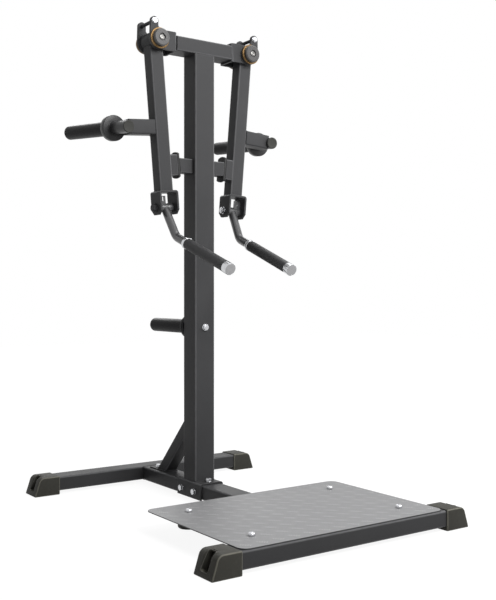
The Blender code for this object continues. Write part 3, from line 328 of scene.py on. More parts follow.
def tread_finish(name, rub=0.0, painted_shade=0.0):
    """Pale grey paint on top, with painted shade on its edges and underside; bars may carry a painted
    glint on their crests and painted shade at their feet.
    """
    look = Finish(name)
    top = screen(128, 128, 129)
    broad = look.noise(7.0, 5.0, 0.6)
    grain = look.noise(1100.0, 4.0, 0.75)
    dirt = look.remap(look.noise(30.0, 6.0, 0.7), 0.50, 0.72)
    tone = look.mix(broad, shade(top, 0.90), shade(top, 1.08))
    tone = look.mix(look.maths("MULTIPLY", grain, 0.30), tone, shade(top, 0.72))
    tone = look.mix(look.maths("MULTIPLY", dirt, 0.22), tone, shade(top, 0.66))
    height = look.node("ShaderNodeSeparateXYZ", {"Vector": look.place}).outputs["Z"]
    # Painted shade: below the top face, the plate's edges and underside are dark.
    above = look.remap(height, TREAD_TOP - 0.0006, TREAD_TOP - 0.0002)
    tone = look.mix(above, screen(44, 44, 45), tone)
    # Painted shade round the bars' feet.
    foot_shade = look.remap(height, TREAD_TOP + 0.0003, TREAD_TOP + 0.0001, 0.0, painted_shade)
    tone = look.mix(foot_shade, tone, shade(top, 0.22))
    # Painted glint: the bars' crests are painted bright.
    glint_share = look.remap(height, TREAD_TOP + 0.0002, TREAD_TOP + 0.0003, 0.0, rub)
    tone = look.mix(glint_share, tone, shade(top, 2.6))
    rough = look.remap(broad, 0.3, 0.7, 0.46, 0.58)
    return look.finish(tone, rough, look.bump(grain, 0.4, 0.00015))


# The frame's coat is darkened towards the floor as painted shade.
PAINT = painted("charcoal_powder_coat", screen(67, 67, 68), painted_shade=0.32)
# The plate horns' welded pipe is given two tones: the rear pipe a darker coat, painted shade, which the
# storage horn shares; the stub and collar a lighter coat, painted light.
HORN_PAINT = painted("horn_pipe_darker_coat", screen(29, 29, 30), grain=0.00004,
                     roughness=0.34, specular=0.04, scuffs=0.02)
# The handles' glossy coat is a little lighter than the frame's, as painted sheen.
HANDLE_PAINT = painted("handle_gloss_coat", screen(72, 72, 73), grain=0.00004, roughness=0.24,
                       specular=0.80, scuffs=0.06)
STUB_PAINT = painted("plate_horn_stub_lighter_coat", screen(52, 52, 53), grain=0.00004, roughness=0.30,
                     specular=0.30, scuffs=0.04)
CAP_PAINT = painted("black_cap_paint", screen(80, 79, 79), edge_gain=1.8, edge_radius=0.0012,
                    roughness=0.36, specular=0.25)
# The feet's rubber gets a strong painted highlight on its rounded edges.
RUBBER = moulded("foot_moulded_rubber", screen(52, 51, 46), 5.0, 0.0050, 0.62)
# The slot's rim is in a lighter rubber, as painted highlight.
RIM = moulded("foot_rim_rubber", screen(84, 83, 78), 2.0, 0.0010, 0.62)
PAD = moulded("bumper_moulded_rubber", screen(50, 50, 50), 1.6, 0.0018, 0.60)
HORN_PLUG = moulded("horn_end_plastic", screen(52, 52, 49), 1.8, 0.0015, 0.5)
TREAD = tread_finish("tread_plate_finish")
# Bars one way get a strong painted glint and painted shade at their feet; bars across get a weaker
# painted glint.
TREAD_BAR = tread_finish("tread_bar_painted_glint_finish", rub=0.95, painted_shade=0.95)
TREAD_ACROSS = tread_finish("tread_bar_across_finish", rub=0.32)
ZINC = metal("bright_zinc", screen(194, 195, 198), 0.20)
SCREW_ZINC = metal("dull_zinc", screen(118, 117, 115), 0.30)
BRONZE = metal("turned_bronze", screen(110, 88, 59), 0.34, spread=0.14)
CHROME = metal("polished_chrome", screen(202, 203, 205), 0.20, spread=0.05, edge=0.0004,
               ridge=0.000006)
SATIN = metal("satin_steel_face", screen(160, 160, 161), 0.45, spread=0.08, edge=0.0004,
              ridge=0.00001)
KNURL = painted("black_knurled_steel", screen(56, 56, 57), edge_gain=2.2, edge_radius=0.0006,
                grain=0.00004, specular=0.30, scuffs=0.04)
BEAD = painted("weld_bead_paint", screen(60, 60, 61), edge_gain=1.5, edge_radius=0.0010,
               grain=0.0002, roughness=0.46)

FINISHES = {
    "charcoal_paint": PAINT,
    "foot_rubber": RUBBER,
    "bumper_rubber": PAD,
    "tread_plate_paint": TREAD,
    "zinc_plated_steel": ZINC,
    "bronze": BRONZE,
    "black_cap": CAP_PAINT,
    "knurled_black_steel": KNURL,
    "chrome": CHROME,
}


SMOOTH_LIMIT = math.cos(math.radians(34))
EDGE_CURVE = 0.009
EDGE_STRIP = 0.004


def point_key(point):
    return tuple(round(value, 6) for value in point)


def soften(mesh):
    """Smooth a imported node's curved faces by its corner normals; its points stay as they are."""
    around = {}
    for polygon in mesh.polygons:
        for corner in polygon.loop_indices:
            point = mesh.vertices[mesh.loops[corner].vertex_index].co
            around.setdefault(point_key(point), []).append((corner, polygon))
    normals = [Vector((0, 0, 1))] * len(mesh.loops)
    for group in around.values():
        for corner, polygon in group:
            total = Vector()
            for _, other in group:
                if polygon.normal.dot(other.normal) > SMOOTH_LIMIT:
                    total += other.normal * other.area
            normals[corner] = total.normalized() if total.length > 0 else polygon.normal
    mesh.shade_smooth()
    mesh.normals_split_custom_set(normals)


def mark_corners(mesh, least=0.0, most=1.0):
    """Mark the tightly rounded edges, where a finish paints a highlight: 0 at their sides, 1 between.
    Only faces whose normals have a Y part from least to most are taken."""
    corner_normals = mesh.corner_normals
    tight = []
    around = {}
    for polygon in mesh.polygons:
        points = [mesh.vertices[i].co for i in polygon.vertices]
        longest = max((a - b).length for a, b in zip(points, points[1:] + points[:1]))
        width = polygon.area / longest * (2 if len(points) == 3 else 1)
        swing = max(math.acos(max(-1.0, min(1.0, polygon.normal.dot(corner_normals[i].vector))))
                    for i in polygon.loop_indices)
        tight.append(width < EDGE_STRIP and width < 2 * EDGE_CURVE * swing
                     and least <= abs(polygon.normal.y) <= most)
        for point in points:
            around.setdefault(point_key(point), []).append(polygon.index)
    band = mesh.attributes.new("rounded_edge", "FLOAT", "CORNER")
    for polygon in mesh.polygons:
        if not tight[polygon.index]:
            continue
        for corner in polygon.loop_indices:
            point = mesh.vertices[mesh.loops[corner].vertex_index].co
            beside = [mesh.polygons[i] for i in around[point_key(point)]]
            flat = any(not tight[other.index] and polygon.normal.dot(other.normal) > SMOOTH_LIMIT
                       for other in beside)
            band.data[corner].value = 0.0 if flat else 1.0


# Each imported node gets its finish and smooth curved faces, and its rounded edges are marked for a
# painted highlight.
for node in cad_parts.values():
    node.data.materials[0] = FINISHES[node.data.materials[0].name.split(".")[0]]
    soften(node.data)
    mark_corners(node.data)


# Building meshes


def piece(name, bm, finish, body, place, degrees):
    """A shown piece from a bmesh, put in place, sharp past some degrees and riding on a body."""
    bmesh.ops.recalc_face_normals(bm, faces=bm.faces)
    mesh = bpy.data.meshes.new(name)
    bm.to_mesh(mesh)
    bm.free()
    mesh.transform(place)
    mesh.shade_smooth()
    mesh.set_sharp_from_angle(angle=math.radians(degrees))
    mesh.materials.append(finish)
    made = bpy.data.objects.new(name, mesh)
    bpy.context.scene.collection.objects.link(made)
    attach(made, body)
    return made


def loft(bm, loops, closed=False):
    """Skin a run of loops that have the same number of points; flat ends, or a ring if closed."""
    rings = [[bm.verts.new(point) for point in loop] for loop in loops]
    count = len(rings[0])
    pairs = list(zip(rings, rings[1:]))
    if closed:
        pairs.append((rings[-1], rings[0]))
    for low, high in pairs:
        for i in range(count):
            k = (i + 1) % count
            bm.faces.new((low[i], low[k], high[k], high[i]))
    if not closed:
        bm.faces.new(list(reversed(rings[0])))
        bm.faces.new(rings[-1])


def circle(radius, height, steps):
    return [
        (radius * math.cos(math.tau * i / steps), radius * math.sin(math.tau * i / steps), height)
        for i in range(steps)
    ]


def turned(bm, profile, steps, closed=False):
    """A shape turned about Z from (radius, height) points; flat ends, or a ring if closed."""
    loft(bm, [circle(radius, height, steps) for radius, height in profile], closed)


def hexagon(corner, height, steps=48):
    """A six-sided loop of a corner radius, its points evenly spaced in angle."""
    inner = corner * math.cos(math.pi / 6)
    points = []
    for i in range(steps):
        angle = math.tau * i / steps
        reach = inner / math.cos((angle % (math.pi / 3)) - math.pi / 6)
        points.append((reach * math.cos(angle), reach * math.sin(angle), height))
    return points


CHAMFER_RISE = 0.577


def hex_body(bm, corner, low, high, domed_low=True):
    """A hexagon bar, its corners chamfered round at the top and, if domed_low, at the bottom."""
    flat = corner * math.cos(math.pi / 6) * 0.97
    loops = []
    for height, way, domed in ((low, 1, domed_low), (high, -1, True)):
        rim = []
        for x, y, _ in hexagon(corner, 0):
            over = max(0.0, math.hypot(x, y) - flat) * CHAMFER_RISE if domed else 0.0
            rim.append((x, y, height + way * over))
        face = circle(flat, height, 48) if domed else hexagon(corner * 0.9, height)
        loops += [face, rim] if way > 0 else [rim, face]
    loft(bm, loops)


def washer(bm, inner, outer, low, high):
    edge = min(0.0005, (high - low) / 3)
    turned(
        bm,
        [(inner, high), (outer - edge, high), (outer, high - edge), (outer, low + edge),
         (outer - edge, low), (inner, low)],
        48,
        True,
    )


WASHER = 0.0016
WASHER_CLEARANCE = 0.0002


def bolt(name, node, place, body, grip, shank, corner, head, nut_height=0.0, spread=1.10,
         finish=ZINC):
    """A bolt on Z through a grip: a washer and a chamfered head above and, unless nut_height is
    0, a washer and a nut below. The washers are spread times as wide as the head's corners."""
    bm = bmesh.new()
    low, high = grip
    turned(bm, [(shank, low - nut_height), (shank, high)], 32)
    washer(bm, shank + WASHER_CLEARANCE, corner * spread, high, high + WASHER)
    hex_body(bm, corner, high + WASHER, high + head, False)
    turned(bm, [(corner * 0.62, high + head - 0.0002), (corner * 0.60, high + head + 0.0003)], 48)
    if nut_height:
        washer(bm, shank + WASHER_CLEARANCE, corner * spread, low - WASHER, low)
        hex_body(bm, corner, low - WASHER - nut_height + 0.0012, low - WASHER)
        turned(bm, [(shank, low - nut_height - 0.0004), (shank * 0.85, low - nut_height - 0.0014)], 32)
    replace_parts(piece(name, bm, finish, body, place, 28), node)


def nut(name, place, body, shank, corner, face, height):
    """A nut with its washer and the bolt's end, below a face on Z."""
    bm = bmesh.new()
    washer(bm, shank + WASHER_CLEARANCE, corner * 1.10, face - WASHER, face)
    hex_body(bm, corner, face - height, face - WASHER)
    turned(bm, [(shank, face - height + 0.001), (shank, face - height - 0.0006),
                (shank * 0.85, face - height - 0.0016)], 32)
    piece(name, bm, ZINC, body, place, 28)


def rounded_rectangle(width, height, radius, steps):
    points = []
    for quarter, (right, up) in enumerate(((1, 1), (-1, 1), (-1, -1), (1, -1))):
        centre = (right * (width / 2 - radius), up * (height / 2 - radius))
        start = quarter * math.pi / 2
        points += arc(centre, radius, start, start + math.pi / 2, steps)
    return points


def arc(centre, radius, start, end, steps):
    return [
        (centre[0] + radius * math.cos(start + (end - start) * i / steps),
         centre[1] + radius * math.sin(start + (end - start) * i / steps))
        for i in range(steps + 1)
    ]


def prism(bm, outline, depth):
    loft(bm, [[(x, y, z) for x, y in outline] for z in (-depth / 2, depth / 2)])


def resample(path, spacing):
    """Even points round a closed path, so that a bead's ripples keep their size."""
    points = [Vector(point) for point in path]
    points.append(points[0])
    lengths = [0.0]
    for a, b in zip(points, points[1:]):
        lengths.append(lengths[-1] + (b - a).length)
    count = round(lengths[-1] / spacing)
    found = []
    k = 0
    for i in range(count):
        target = lengths[-1] * i / count
        while k < len(points) - 2 and lengths[k + 1] < target:
            k += 1
        span = lengths[k + 1] - lengths[k]
        share = (target - lengths[k]) / span if span > 0 else 0.0
        found.append(points[k].lerp(points[k + 1], min(1.0, share)))
    return found


def sweep(bm, points, radii, steps, closed=False):
    """A round section carried along points without twisting."""
    count = len(points)
    tangents = []
    for i in range(count):
        ahead = points[(i + 1) % count] if closed or i < count - 1 else points[i]
        behind = points[i - 1] if closed or i > 0 else points[i]
        tangents.append((ahead - behind).normalized())
    side = tangents[0].orthogonal().normalized()
    loops = []
    for point, tangent, radius in zip(points, tangents, radii):
        side = (side - tangent * side.dot(tangent)).normalized()
        up = tangent.cross(side)
        loops.append([
            point + radius * (side * math.cos(math.tau * j / steps) + up * math.sin(math.tau * j / steps))
            for j in range(steps)
        ])
    loft(bm, loops, closed)


def carved(base, cutters, width, segments):
    """The base's mesh after its edges are rounded and the cutters are taken from it."""
    made = []
    for bm in [base] + cutters:
        bmesh.ops.recalc_face_normals(bm, faces=bm.faces)
        mesh = bpy.data.meshes.new("work")
        bm.to_mesh(mesh)
        bm.free()
        made.append(bpy.data.objects.new("work", mesh))
        bpy.context.scene.collection.objects.link(made[-1])
    rounding = made[0].modifiers.new("Rounded", "BEVEL")
    rounding.width = width
    rounding.segments = segments
    rounding.limit_method = "ANGLE"
    rounding.angle_limit = math.radians(40)
    for cutter in made[1:]:
        change = made[0].modifiers.new("Cut", "BOOLEAN")
        change.operation = "DIFFERENCE"
        change.object = cutter
    graph = bpy.context.evaluated_depsgraph_get()
    result = bpy.data.meshes.new_from_object(made[0].evaluated_get(graph))
    bm = bmesh.new()
    bm.from_mesh(result)
    for item in made:
        bpy.data.objects.remove(item)
    return bm


BEAD_RADIUS = 0.0014
BEAD_SPACING = 0.0010
RIPPLE = 0.0030


def bead(bm, path, place):
    """A weld bead round a closed path in a local frame: overlapping ripples of a filler rod."""
    points = [place @ point for point in resample(path, BEAD_SPACING)]
    radii = []
    for i in range(len(points)):
        phase = (i * BEAD_SPACING / RIPPLE) % 1.0
        radii.append(BEAD_RADIUS * (0.86 + 0.20 * math.sqrt(max(0.0, 1 - (2 * phase - 1) ** 2))))
    sweep(bm, points, radii, 8, True)


def square_path(width, height, corner, level):
    return [(x, y, level) for x, y in rounded_rectangle(width, height, corner, 4)]


# Fasteners

SHANK = 0.006
SADDLE_GRIP = (-SADDLE_HALF - GAP, SADDLE_HALF + GAP)
BASE_BOLT_END = 0.045
STORAGE_BOLT_END = 0.070

for row in ("front", "rear"):
    node = "saddle_bolt_" + row
    bolt(node + "_detail", node, move(*middle(node)) @ ALONG_X, "frame", SADDLE_GRIP, SHANK,
         corner=0.0106, head=0.0085, nut_height=0.0085, spread=0.92)
bolt("saddle_top_bolt_detail", "saddle_top_bolt", move(0, middle("saddle_top_bolt")[Y], 0),
     "frame", (BASE_BOLT_END, SADDLE_TOP + GAP), SHANK, corner=0.0100, head=0.0120, spread=1.0)
bolt("brace_foot_bolt_detail", "brace_foot_bolt", move(0, middle("brace_foot_bolt")[Y], 0),
     "frame", (BASE_BOLT_END, BRACE_PLATE_TOP + GAP), SHANK, corner=0.0108, head=0.0085)
bolt("storage_horn_bolt_detail", "storage_horn_bolt", POST @ move(0, 0, STORAGE_HORN_Z) @ UPRIGHT,
     "frame", (-STORAGE_BOLT_END, POST_SIDE / 2 + GAP), SHANK, corner=0.0108, head=0.0085)
for hand, side in SIDES.items():
    place = move(*middle("stop_bar_" + hand)) @ ALONG_Y
    bolt("stop_bar_detail_" + hand, "stop_bar_" + hand, place, "frame",
         (-BRACKET_HALF - GAP, BRACKET_HALF + GAP), SHANK - 0.0002, corner=0.0092, head=0.0058,
         nut_height=0.0058)
    bm = bmesh.new()
    turned(bm, [(0.0054, -0.0400), (SHANK, -0.0394), (SHANK, 0.0394), (0.0054, 0.0400)], 32)
    piece("stop_bar_rod_" + hand, bm, PAINT, "frame", place, 30)
    place = HANDLE[hand] @ turn(0, side * math.pi / 2, 0)
    bolt("handle_pin_detail_" + hand, "handle_pin_" + hand, place, "arm_" + hand,
         (-CLEVIS_HALF - GAP, CLEVIS_HALF + GAP), PIN_RADIUS, corner=0.0138, head=0.0125,
         finish=PAINT)
    nut("handle_pin_nut_" + hand, place, "arm_" + hand, PIN_RADIUS, corner=0.0120,
        face=-CLEVIS_HALF - GAP, height=0.0100)


def tread_bolt(name, node, x, y):
    """A domed socket screw with a finely ribbed side and a small six-sided socket."""
    bm = bmesh.new()
    steps = 96
    seat = TREAD_TOP + GAP
    top = seat + 0.0100
    radius = 0.0098

    def ribbed(height):
        loop = []
        for i in range(steps):
            reach = radius - (0.00012 if i % 4 in (1, 2) else 0.0)
            angle = math.tau * i / steps
            loop.append((reach * math.cos(angle), reach * math.sin(angle), height))
        return loop

    loft(bm, [
        circle(radius - 0.0008, seat, steps),
        ribbed(seat + 0.0008),
        ribbed(top - 0.0044),
        circle(radius - 0.0004, top - 0.0036, steps),
        circle(radius - 0.0014, top - 0.0020, steps),
        circle(radius - 0.0030, top - 0.0008, steps),
        circle(radius - 0.0048, top - 0.0001, steps),
        circle(0.0038, top, steps),
        hexagon(0.0034, top - 0.0003, steps),
        hexagon(0.0034, top - 0.0030, steps),
        circle(0.0014, top - 0.0036, steps),
    ])
    turned(bm, [(0.0034, 0.0412), (0.0043, 0.0420), (0.0045, seat + 0.0005)], 32)
    made = piece(name, bm, ZINC, "frame", move(x, y, 0), 28)
    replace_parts(made, node)


for row, y in BOLT_ROWS.items():
    for hand, side in SIDES.items():
        corner = row + "_" + hand
        tread_bolt("tread_bolt_" + corner, "platform_bolt_" + corner, side * TREAD_BOLT_X, y)


# Pivots

for hand, side in SIDES.items():
    for face, lie in FACES.items():
        bm = bmesh.new()
        turned(bm, [
            (0.0153, 0.0483), (0.0345, 0.0483), (0.0350, 0.0488), (0.0350, 0.0503),
            (0.0344, 0.0506), (0.0344, 0.0512), (0.0350, 0.0515), (0.0350, 0.0528),
            (0.0342, 0.0536), (0.0322, 0.0538), (0.0320, 0.0556), (0.0314, 0.0560),
            (0.0153, 0.0560),
        ], 96, True)
        place = POST @ move(side * PIVOT_X, 0, PIVOT_Z) @ turn(lie)
        ring = piece("bearing_ring_" + face + "_" + hand, bm, BRONZE, "frame", place, 24)
        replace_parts(ring, "pivot_bush_" + face + "_" + hand)

        bm = bmesh.new()
        turned(bm, [
            (0.0292, 0.0563), (0.0300, 0.0570), (0.0300, 0.0635), (0.0298, 0.0643),
            (0.0266, 0.0676), (0.0258, 0.0680), (0.0132, 0.0680), (0.0126, 0.0677),
            (0.0123, 0.0671), (0.0116, 0.0642), (0.0112, 0.0640),
        ], 96)
        cap = piece("pivot_cover_" + face + "_" + hand, bm, CAP_PAINT, "arm_" + hand,
                    ARM[hand] @ turn(lie), 24)
        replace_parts(cap, "pivot_cap_" + face + "_" + hand)

        bm = bmesh.new()
        loft(bm, [
            circle(0.0086, 0.0640, 48), circle(0.0088, 0.0648, 48), circle(0.0084, 0.0662, 48),
            circle(0.0070, 0.0669, 48), circle(0.0050, 0.0671, 48), hexagon(0.0042, 0.0670),
            hexagon(0.0042, 0.0652), circle(0.0012, 0.0648, 48),
        ])
        piece("pivot_screw_" + face + "_" + hand, bm, SCREW_ZINC, "arm_" + hand,
              ARM[hand] @ turn(lie), 28)


# Plate horns

COLLAR_EDGE = [(0.0417, 0.0), (0.0430, 0.0005), (0.0437, 0.0018)]
REAR_PLUG_RADIUS = 0.0242


def pipe_end(rear):
    """A horn pipe's end, turned in to meet its plug."""
    return [(HORN_RADIUS, rear - 0.0025), (0.0244, rear - 0.0016), (0.0225, rear - 0.0014)]


def collar(low, high):
    """A collar's rim from its low face to its high one, with rounded edges."""
    up = [(radius, low + height) for radius, height in COLLAR_EDGE]
    down = [(radius, high - height) for radius, height in reversed(COLLAR_EDGE)]
    return up + down


def plug(name, place, radius, end, way, body):
    """A moulded plug in a tube's end, facing way on Z, its rim rounded and its face dished."""
    bm = bmesh.new()
    profile = [(radius - 0.004, 0.006), (radius - 0.0015, 0.0018), (radius, 0.0014),
               (radius, 0.0008), (radius - 0.0008, 0.0001), (radius - 0.0022, 0.0),
               (radius - 0.0050, 0.0004), (radius * 0.4, 0.0009)]
    turned(bm, [(r, end - way * depth) for r, depth in profile], 64)
    piece(name, bm, HORN_PLUG, body, place, 30)


for hand, side in SIDES.items():
    body = "arm_" + hand
    # Stub and collar in the lighter coat, painted light; the rear pipe in the darker coat, painted shade.
    bm = bmesh.new()
    turned(bm, [(0.0190, -0.0355), (0.0202, -0.0352), (HORN_STUB_RADIUS, -0.0344),
                (HORN_STUB_RADIUS, HORN_COLLAR[0])]
           + collar(*HORN_COLLAR) + [(0.0240, HORN_COLLAR[1])], 96)
    piece("plate_horn_collar_" + hand, bm, STUB_PAINT, body, HORN[hand], 30)
    bm = bmesh.new()
    turned(bm, [(HORN_RADIUS, HORN_COLLAR[1])] + pipe_end(HORN_REAR), 96)
    pipe = piece("plate_horn_pipe_" + hand, bm, HORN_PAINT, body, HORN[hand], 30)
    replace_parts(pipe, "weight_horn_" + hand)
    plug("plate_horn_front_plug_" + hand, HORN[hand], 0.0206, HORN_FRONT, -1, body)
    plug("plate_horn_rear_plug_" + hand, HORN[hand], REAR_PLUG_RADIUS, HORN_REAR, 1, body)

    inner = ARM_SIDE / 2 + GAP
    bm = bmesh.new()
    section = rounded_rectangle(ARM_SIDE, ARM_SIDE, ARM_CORNER, 8)
    prism(bm, section, HORN_TUBE_END - inner)
    place = ARM[hand] @ move(side * (inner + HORN_TUBE_END) / 2, 0, -HORN_DOWN) @ ALONG_X
    piece("plate_horn_tube_" + hand, bm, PAINT, body, place, 30)

bm = bmesh.new()
turned(bm, collar(*STORAGE_COLLAR) + [(HORN_RADIUS, STORAGE_COLLAR[1])]
       + pipe_end(STORAGE_HORN_REAR), 96)
STORAGE_HORN = POST @ move(0, 0, STORAGE_HORN_Z) @ ALONG_Y
pipe = piece("storage_horn_pipe", bm, HORN_PAINT, "frame", STORAGE_HORN, 30)
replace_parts(pipe, "storage_horn")
plug("storage_horn_plug", STORAGE_HORN, REAR_PLUG_RADIUS, STORAGE_HORN_REAR, 1, "frame")


# Handles

BEND_STEPS = 24
KNURLS_AROUND = 40
KNURLS_ALONG = 77
KNURL_DEPTH = 0.00045


def handle_points():
    """The handle bar's middle line from its pin: down, through one bend, along the grip."""
    fall = math.tan(GRIP_SLOPE)
    corner = Vector((0, -BEND_FORWARD, (RING_FORWARD - BEND_FORWARD) * fall - RING_DOWN))
    first = corner.normalized()
    along = Vector((0, -math.cos(GRIP_SLOPE), -math.sin(GRIP_SLOPE)))
    swing = first.angle(along)
    start = corner - first * BEND_RADIUS * math.tan(swing / 2)
    inward = (along - first * first.dot(along)).normalized()
    centre = start + inward * BEND_RADIUS
    points = [Vector((0, 0, 0))]
    for i in range(BEND_STEPS + 1):
        angle = swing * i / BEND_STEPS
        points.append(centre + BEND_RADIUS * (first * math.sin(angle) - inward * math.cos(angle)))
    points.append(Vector((0, -RING_FORWARD, -RING_DOWN)) + along * (GRIP_HIGH + 0.004))
    return points


def knurled(low, high, radius):
    """Loops of a diamond knurl: two crossed runs of ridges round a bar."""
    steps = KNURLS_AROUND * 4
    lines = KNURLS_ALONG * 4
    depth = KNURL_DEPTH
    loops = [circle(radius - 0.0012, low, steps), circle(radius - depth, low + 0.0008, steps)]
    for row in range(lines + 1):
        height = low + 0.0016 + (high - low - 0.0032) * row / lines
        fade = min(1.0, row / 3, (lines - row) / 3)
        loop = []
        for i in range(steps):
            turn_share = i * KNURLS_AROUND / steps
            one = abs(((turn_share + row / 4) % 1.0) - 0.5)
            two = abs(((turn_share - row / 4) % 1.0) - 0.5)
            reach = radius - depth * fade * 2 * max(0.0, 0.5 - min(one, two) * 1.6) - depth * (1 - fade)
            angle = math.tau * i / steps
            loop.append((reach * math.cos(angle), reach * math.sin(angle), height))
        loops.append(loop)
    loops += [circle(radius - depth, high - 0.0008, steps), circle(radius - 0.0012, high, steps)]
    return loops


for hand, side in SIDES.items():
    body = "handle_" + hand
    bm = bmesh.new()
    path = handle_points()
    sweep(bm, path, [HANDLE_RADIUS] * len(path), 40)
    rod = piece("handle_bar_" + hand, bm, HANDLE_PAINT, body, HANDLE[hand], 40)
    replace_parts(rod, "handle_" + hand)

    bm = bmesh.new()
    half = CLEVIS_HALF - CLEVIS_PLATE - GAP
    turned(bm, [
        (0.0080, -half), (0.0147, -half), (0.0155, 0.0008 - half), (0.0155, half - 0.0008),
        (0.0147, half), (0.0080, half),
    ], 64, True)
    piece("handle_hinge_tube_" + hand, bm, HANDLE_PAINT, body, HANDLE[hand] @ ALONG_X, 30)

    bm = bmesh.new()
    prism(bm, rounded_rectangle(LUG_WIDTH, LUG_TOP - LUG_LOW, 0.0015, 4), LUG_DEPTH)
    slot = bmesh.new()
    prism(slot, rounded_rectangle(*LUG_SLOT, 0.002, 6), 3 * LUG_DEPTH)
    lug_up = (LUG_TOP + LUG_LOW) / 2
    slot_up = LUG_TOP - LUG_SLOT_BELOW - LUG_SLOT[1] / 2 - lug_up
    slot.transform(move(side * (LUG_SLOT_OUT - LUG_MIDDLE), slot_up, 0))
    place = HANDLE[hand] @ move(side * LUG_MIDDLE, LUG_Y, lug_up) @ UPRIGHT
    piece("handle_stop_lug_" + hand, carved(bm, [slot], 0.0006, 2), HANDLE_PAINT, body, place, 30)

    bm = bmesh.new()
    loft(bm, knurled(GRIP_LOW + GAP, GRIP_HIGH, GRIP_RADIUS))
    grip = piece("knurled_grip_" + hand, bm, KNURL, body, GRIP[hand], 70)
    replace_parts(grip, "handle_grip_" + hand)

    bm = bmesh.new()
    turned(bm, [
        (0.0148, -0.0052), (0.0188, -0.0052), (0.0197, -0.0047), (0.0200, -0.0038),
        (0.0200, 0.0046), (0.0197, 0.0055), (0.0188, 0.0060), (0.0148, 0.0060),
    ], 96, True)
    ring = piece("grip_ring_" + hand, bm, CHROME, body, GRIP[hand], 24)
    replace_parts(ring, "grip_collar_" + hand)

    bm = bmesh.new()
    turned(bm, [
        (0.0150, GRIP_HIGH + GAP), (0.0187, GRIP_HIGH + GAP), (0.0194, GRIP_HIGH + 0.0010),
        (0.0195, GRIP_HIGH + 0.0018), (0.0195, CAP_END - 0.0018), (0.0194, CAP_END - 0.0009),
        (0.0190, CAP_END - 0.0003), (0.0186, CAP_END - 0.0002), (0.0183, CAP_END - 0.0006),
    ], 96)
    cap = piece("grip_tip_" + hand, bm, CHROME, body, GRIP[hand], 24)
    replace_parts(cap, "grip_end_cap_" + hand)

    bm = bmesh.new()
    turned(bm, [(0.0182, CAP_END - 0.0006), (0.0180, CAP_END - 0.0001), (0.0172, CAP_END),
                (0.0080, CAP_END - 0.0001), (0.0010, CAP_END - 0.0002)], 96)
    piece("grip_tip_face_" + hand, bm, SATIN, body, GRIP[hand], 24)


# Rubber

FOOT_INNER = 0.377
FOOT_OUTER = 0.472
FOOT_HALF_DEPTH = 0.04525
FOOT_HEIGHT = 0.0655
FOOT_SHOULDER = 0.022
FOOT_SLOPE = 0.0155
FOOT_LEAN = math.atan(FOOT_SLOPE / (FOOT_HEIGHT - FOOT_SHOULDER))
SHOULDER_MIDDLE = (FOOT_OUTER - FOOT_SLOPE - FOOT_SHOULDER, FOOT_HEIGHT - FOOT_SHOULDER)
SLOT_HALF = 0.017
SLOT_LOW = 0.016
SLOT_HIGH = 0.0750
SLOT_MIDDLE = (SLOT_LOW + SLOT_HIGH) / 2
SLOT_CORNER = 0.008
SLOT_DEPTH = 0.026
RIM_HIGH = 0.0800
POCKET = (0.3, 0.4205)


def foot_rim_point(along, across):
    """A point on the foot's sloped end and shoulder, measured up from its bottom corner."""
    arc_start = (SHOULDER_MIDDLE[0] + FOOT_SHOULDER * math.cos(FOOT_LEAN),
                 SHOULDER_MIDDLE[1] + FOOT_SHOULDER * math.sin(FOOT_LEAN))
    slope = math.hypot(FOOT_OUTER - arc_start[0], arc_start[1])
    if along <= slope:
        share = along / slope
        x = FOOT_OUTER + (arc_start[0] - FOOT_OUTER) * share
        return (x, across, arc_start[1] * share)
    angle = FOOT_LEAN + (along - slope) / FOOT_SHOULDER
    return (SHOULDER_MIDDLE[0] + FOOT_SHOULDER * math.cos(angle), across,
            SHOULDER_MIDDLE[1] + FOOT_SHOULDER * math.sin(angle))


def foot_mesh():
    """A foot for the right side: its block, less the tube's pocket and the slot in its end."""
    outline = [(FOOT_INNER, 0.0), (FOOT_OUTER, 0.0)]
    outline += arc(SHOULDER_MIDDLE, FOOT_SHOULDER, FOOT_LEAN, math.pi / 2, 20)
    outline.append((FOOT_INNER, FOOT_HEIGHT))
    base = bmesh.new()
    loft(base, [[(x, y, z) for x, z in outline] for y in (-FOOT_HALF_DEPTH, FOOT_HALF_DEPTH)])
    pocket = bmesh.new()
    corners = rounded_rectangle(2 * TUBE_HALF + 2 * GAP, TUBE_TOP - TUBE_LOW + 2 * GAP, 0.004, 4)
    tube_up = (TUBE_TOP + TUBE_LOW) / 2
    loft(pocket, [[(x, u, tube_up + v) for u, v in corners] for x in POCKET])
    slot = bmesh.new()
    face = rounded_rectangle(2 * SLOT_HALF, SLOT_HIGH - SLOT_LOW, SLOT_CORNER, 8)
    rise = (-math.sin(FOOT_LEAN), math.cos(FOOT_LEAN))
    out = (math.cos(FOOT_LEAN), math.sin(FOOT_LEAN))
    loops = []
    for depth in (-SLOT_DEPTH, 0.03):
        loops.append([
            (FOOT_OUTER + rise[0] * (v + SLOT_MIDDLE) + out[0] * depth, u,
             rise[1] * (v + SLOT_MIDDLE) + out[1] * depth)
            for u, v in face
        ])
    loft(slot, loops)
    return carved(base, [pocket, slot], 0.004, 4)


for end, y in (("front", -FOOT_Y), ("rear", FOOT_Y)):
    for hand, side in SIDES.items():
        place = move(0, y, 0) @ Matrix.Diagonal((side, 1, 1, 1))
        name = end + "_" + hand
        foot = piece("moulded_foot_" + name, foot_mesh(), RUBBER, "frame", place, 40)
        # The foot's rounded side edges are marked for a painted highlight.
        mark_corners(foot.data, 0.15, 0.985)
        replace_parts(foot, "foot_" + name)
        # The rim round the slot, lighter as painted highlight.
        bm = bmesh.new()
        face = rounded_rectangle(2 * SLOT_HALF + 0.001, RIM_HIGH - SLOT_LOW, SLOT_CORNER, 8)
        path = [foot_rim_point(v + (RIM_HIGH + SLOT_LOW) / 2, u) for u, v in face]
        path = resample(path, 0.0015)
        sweep(bm, path, [0.0013] * len(path), 8, True)
        piece("foot_recess_rim_" + name, bm, RIM, "frame", place, 60)

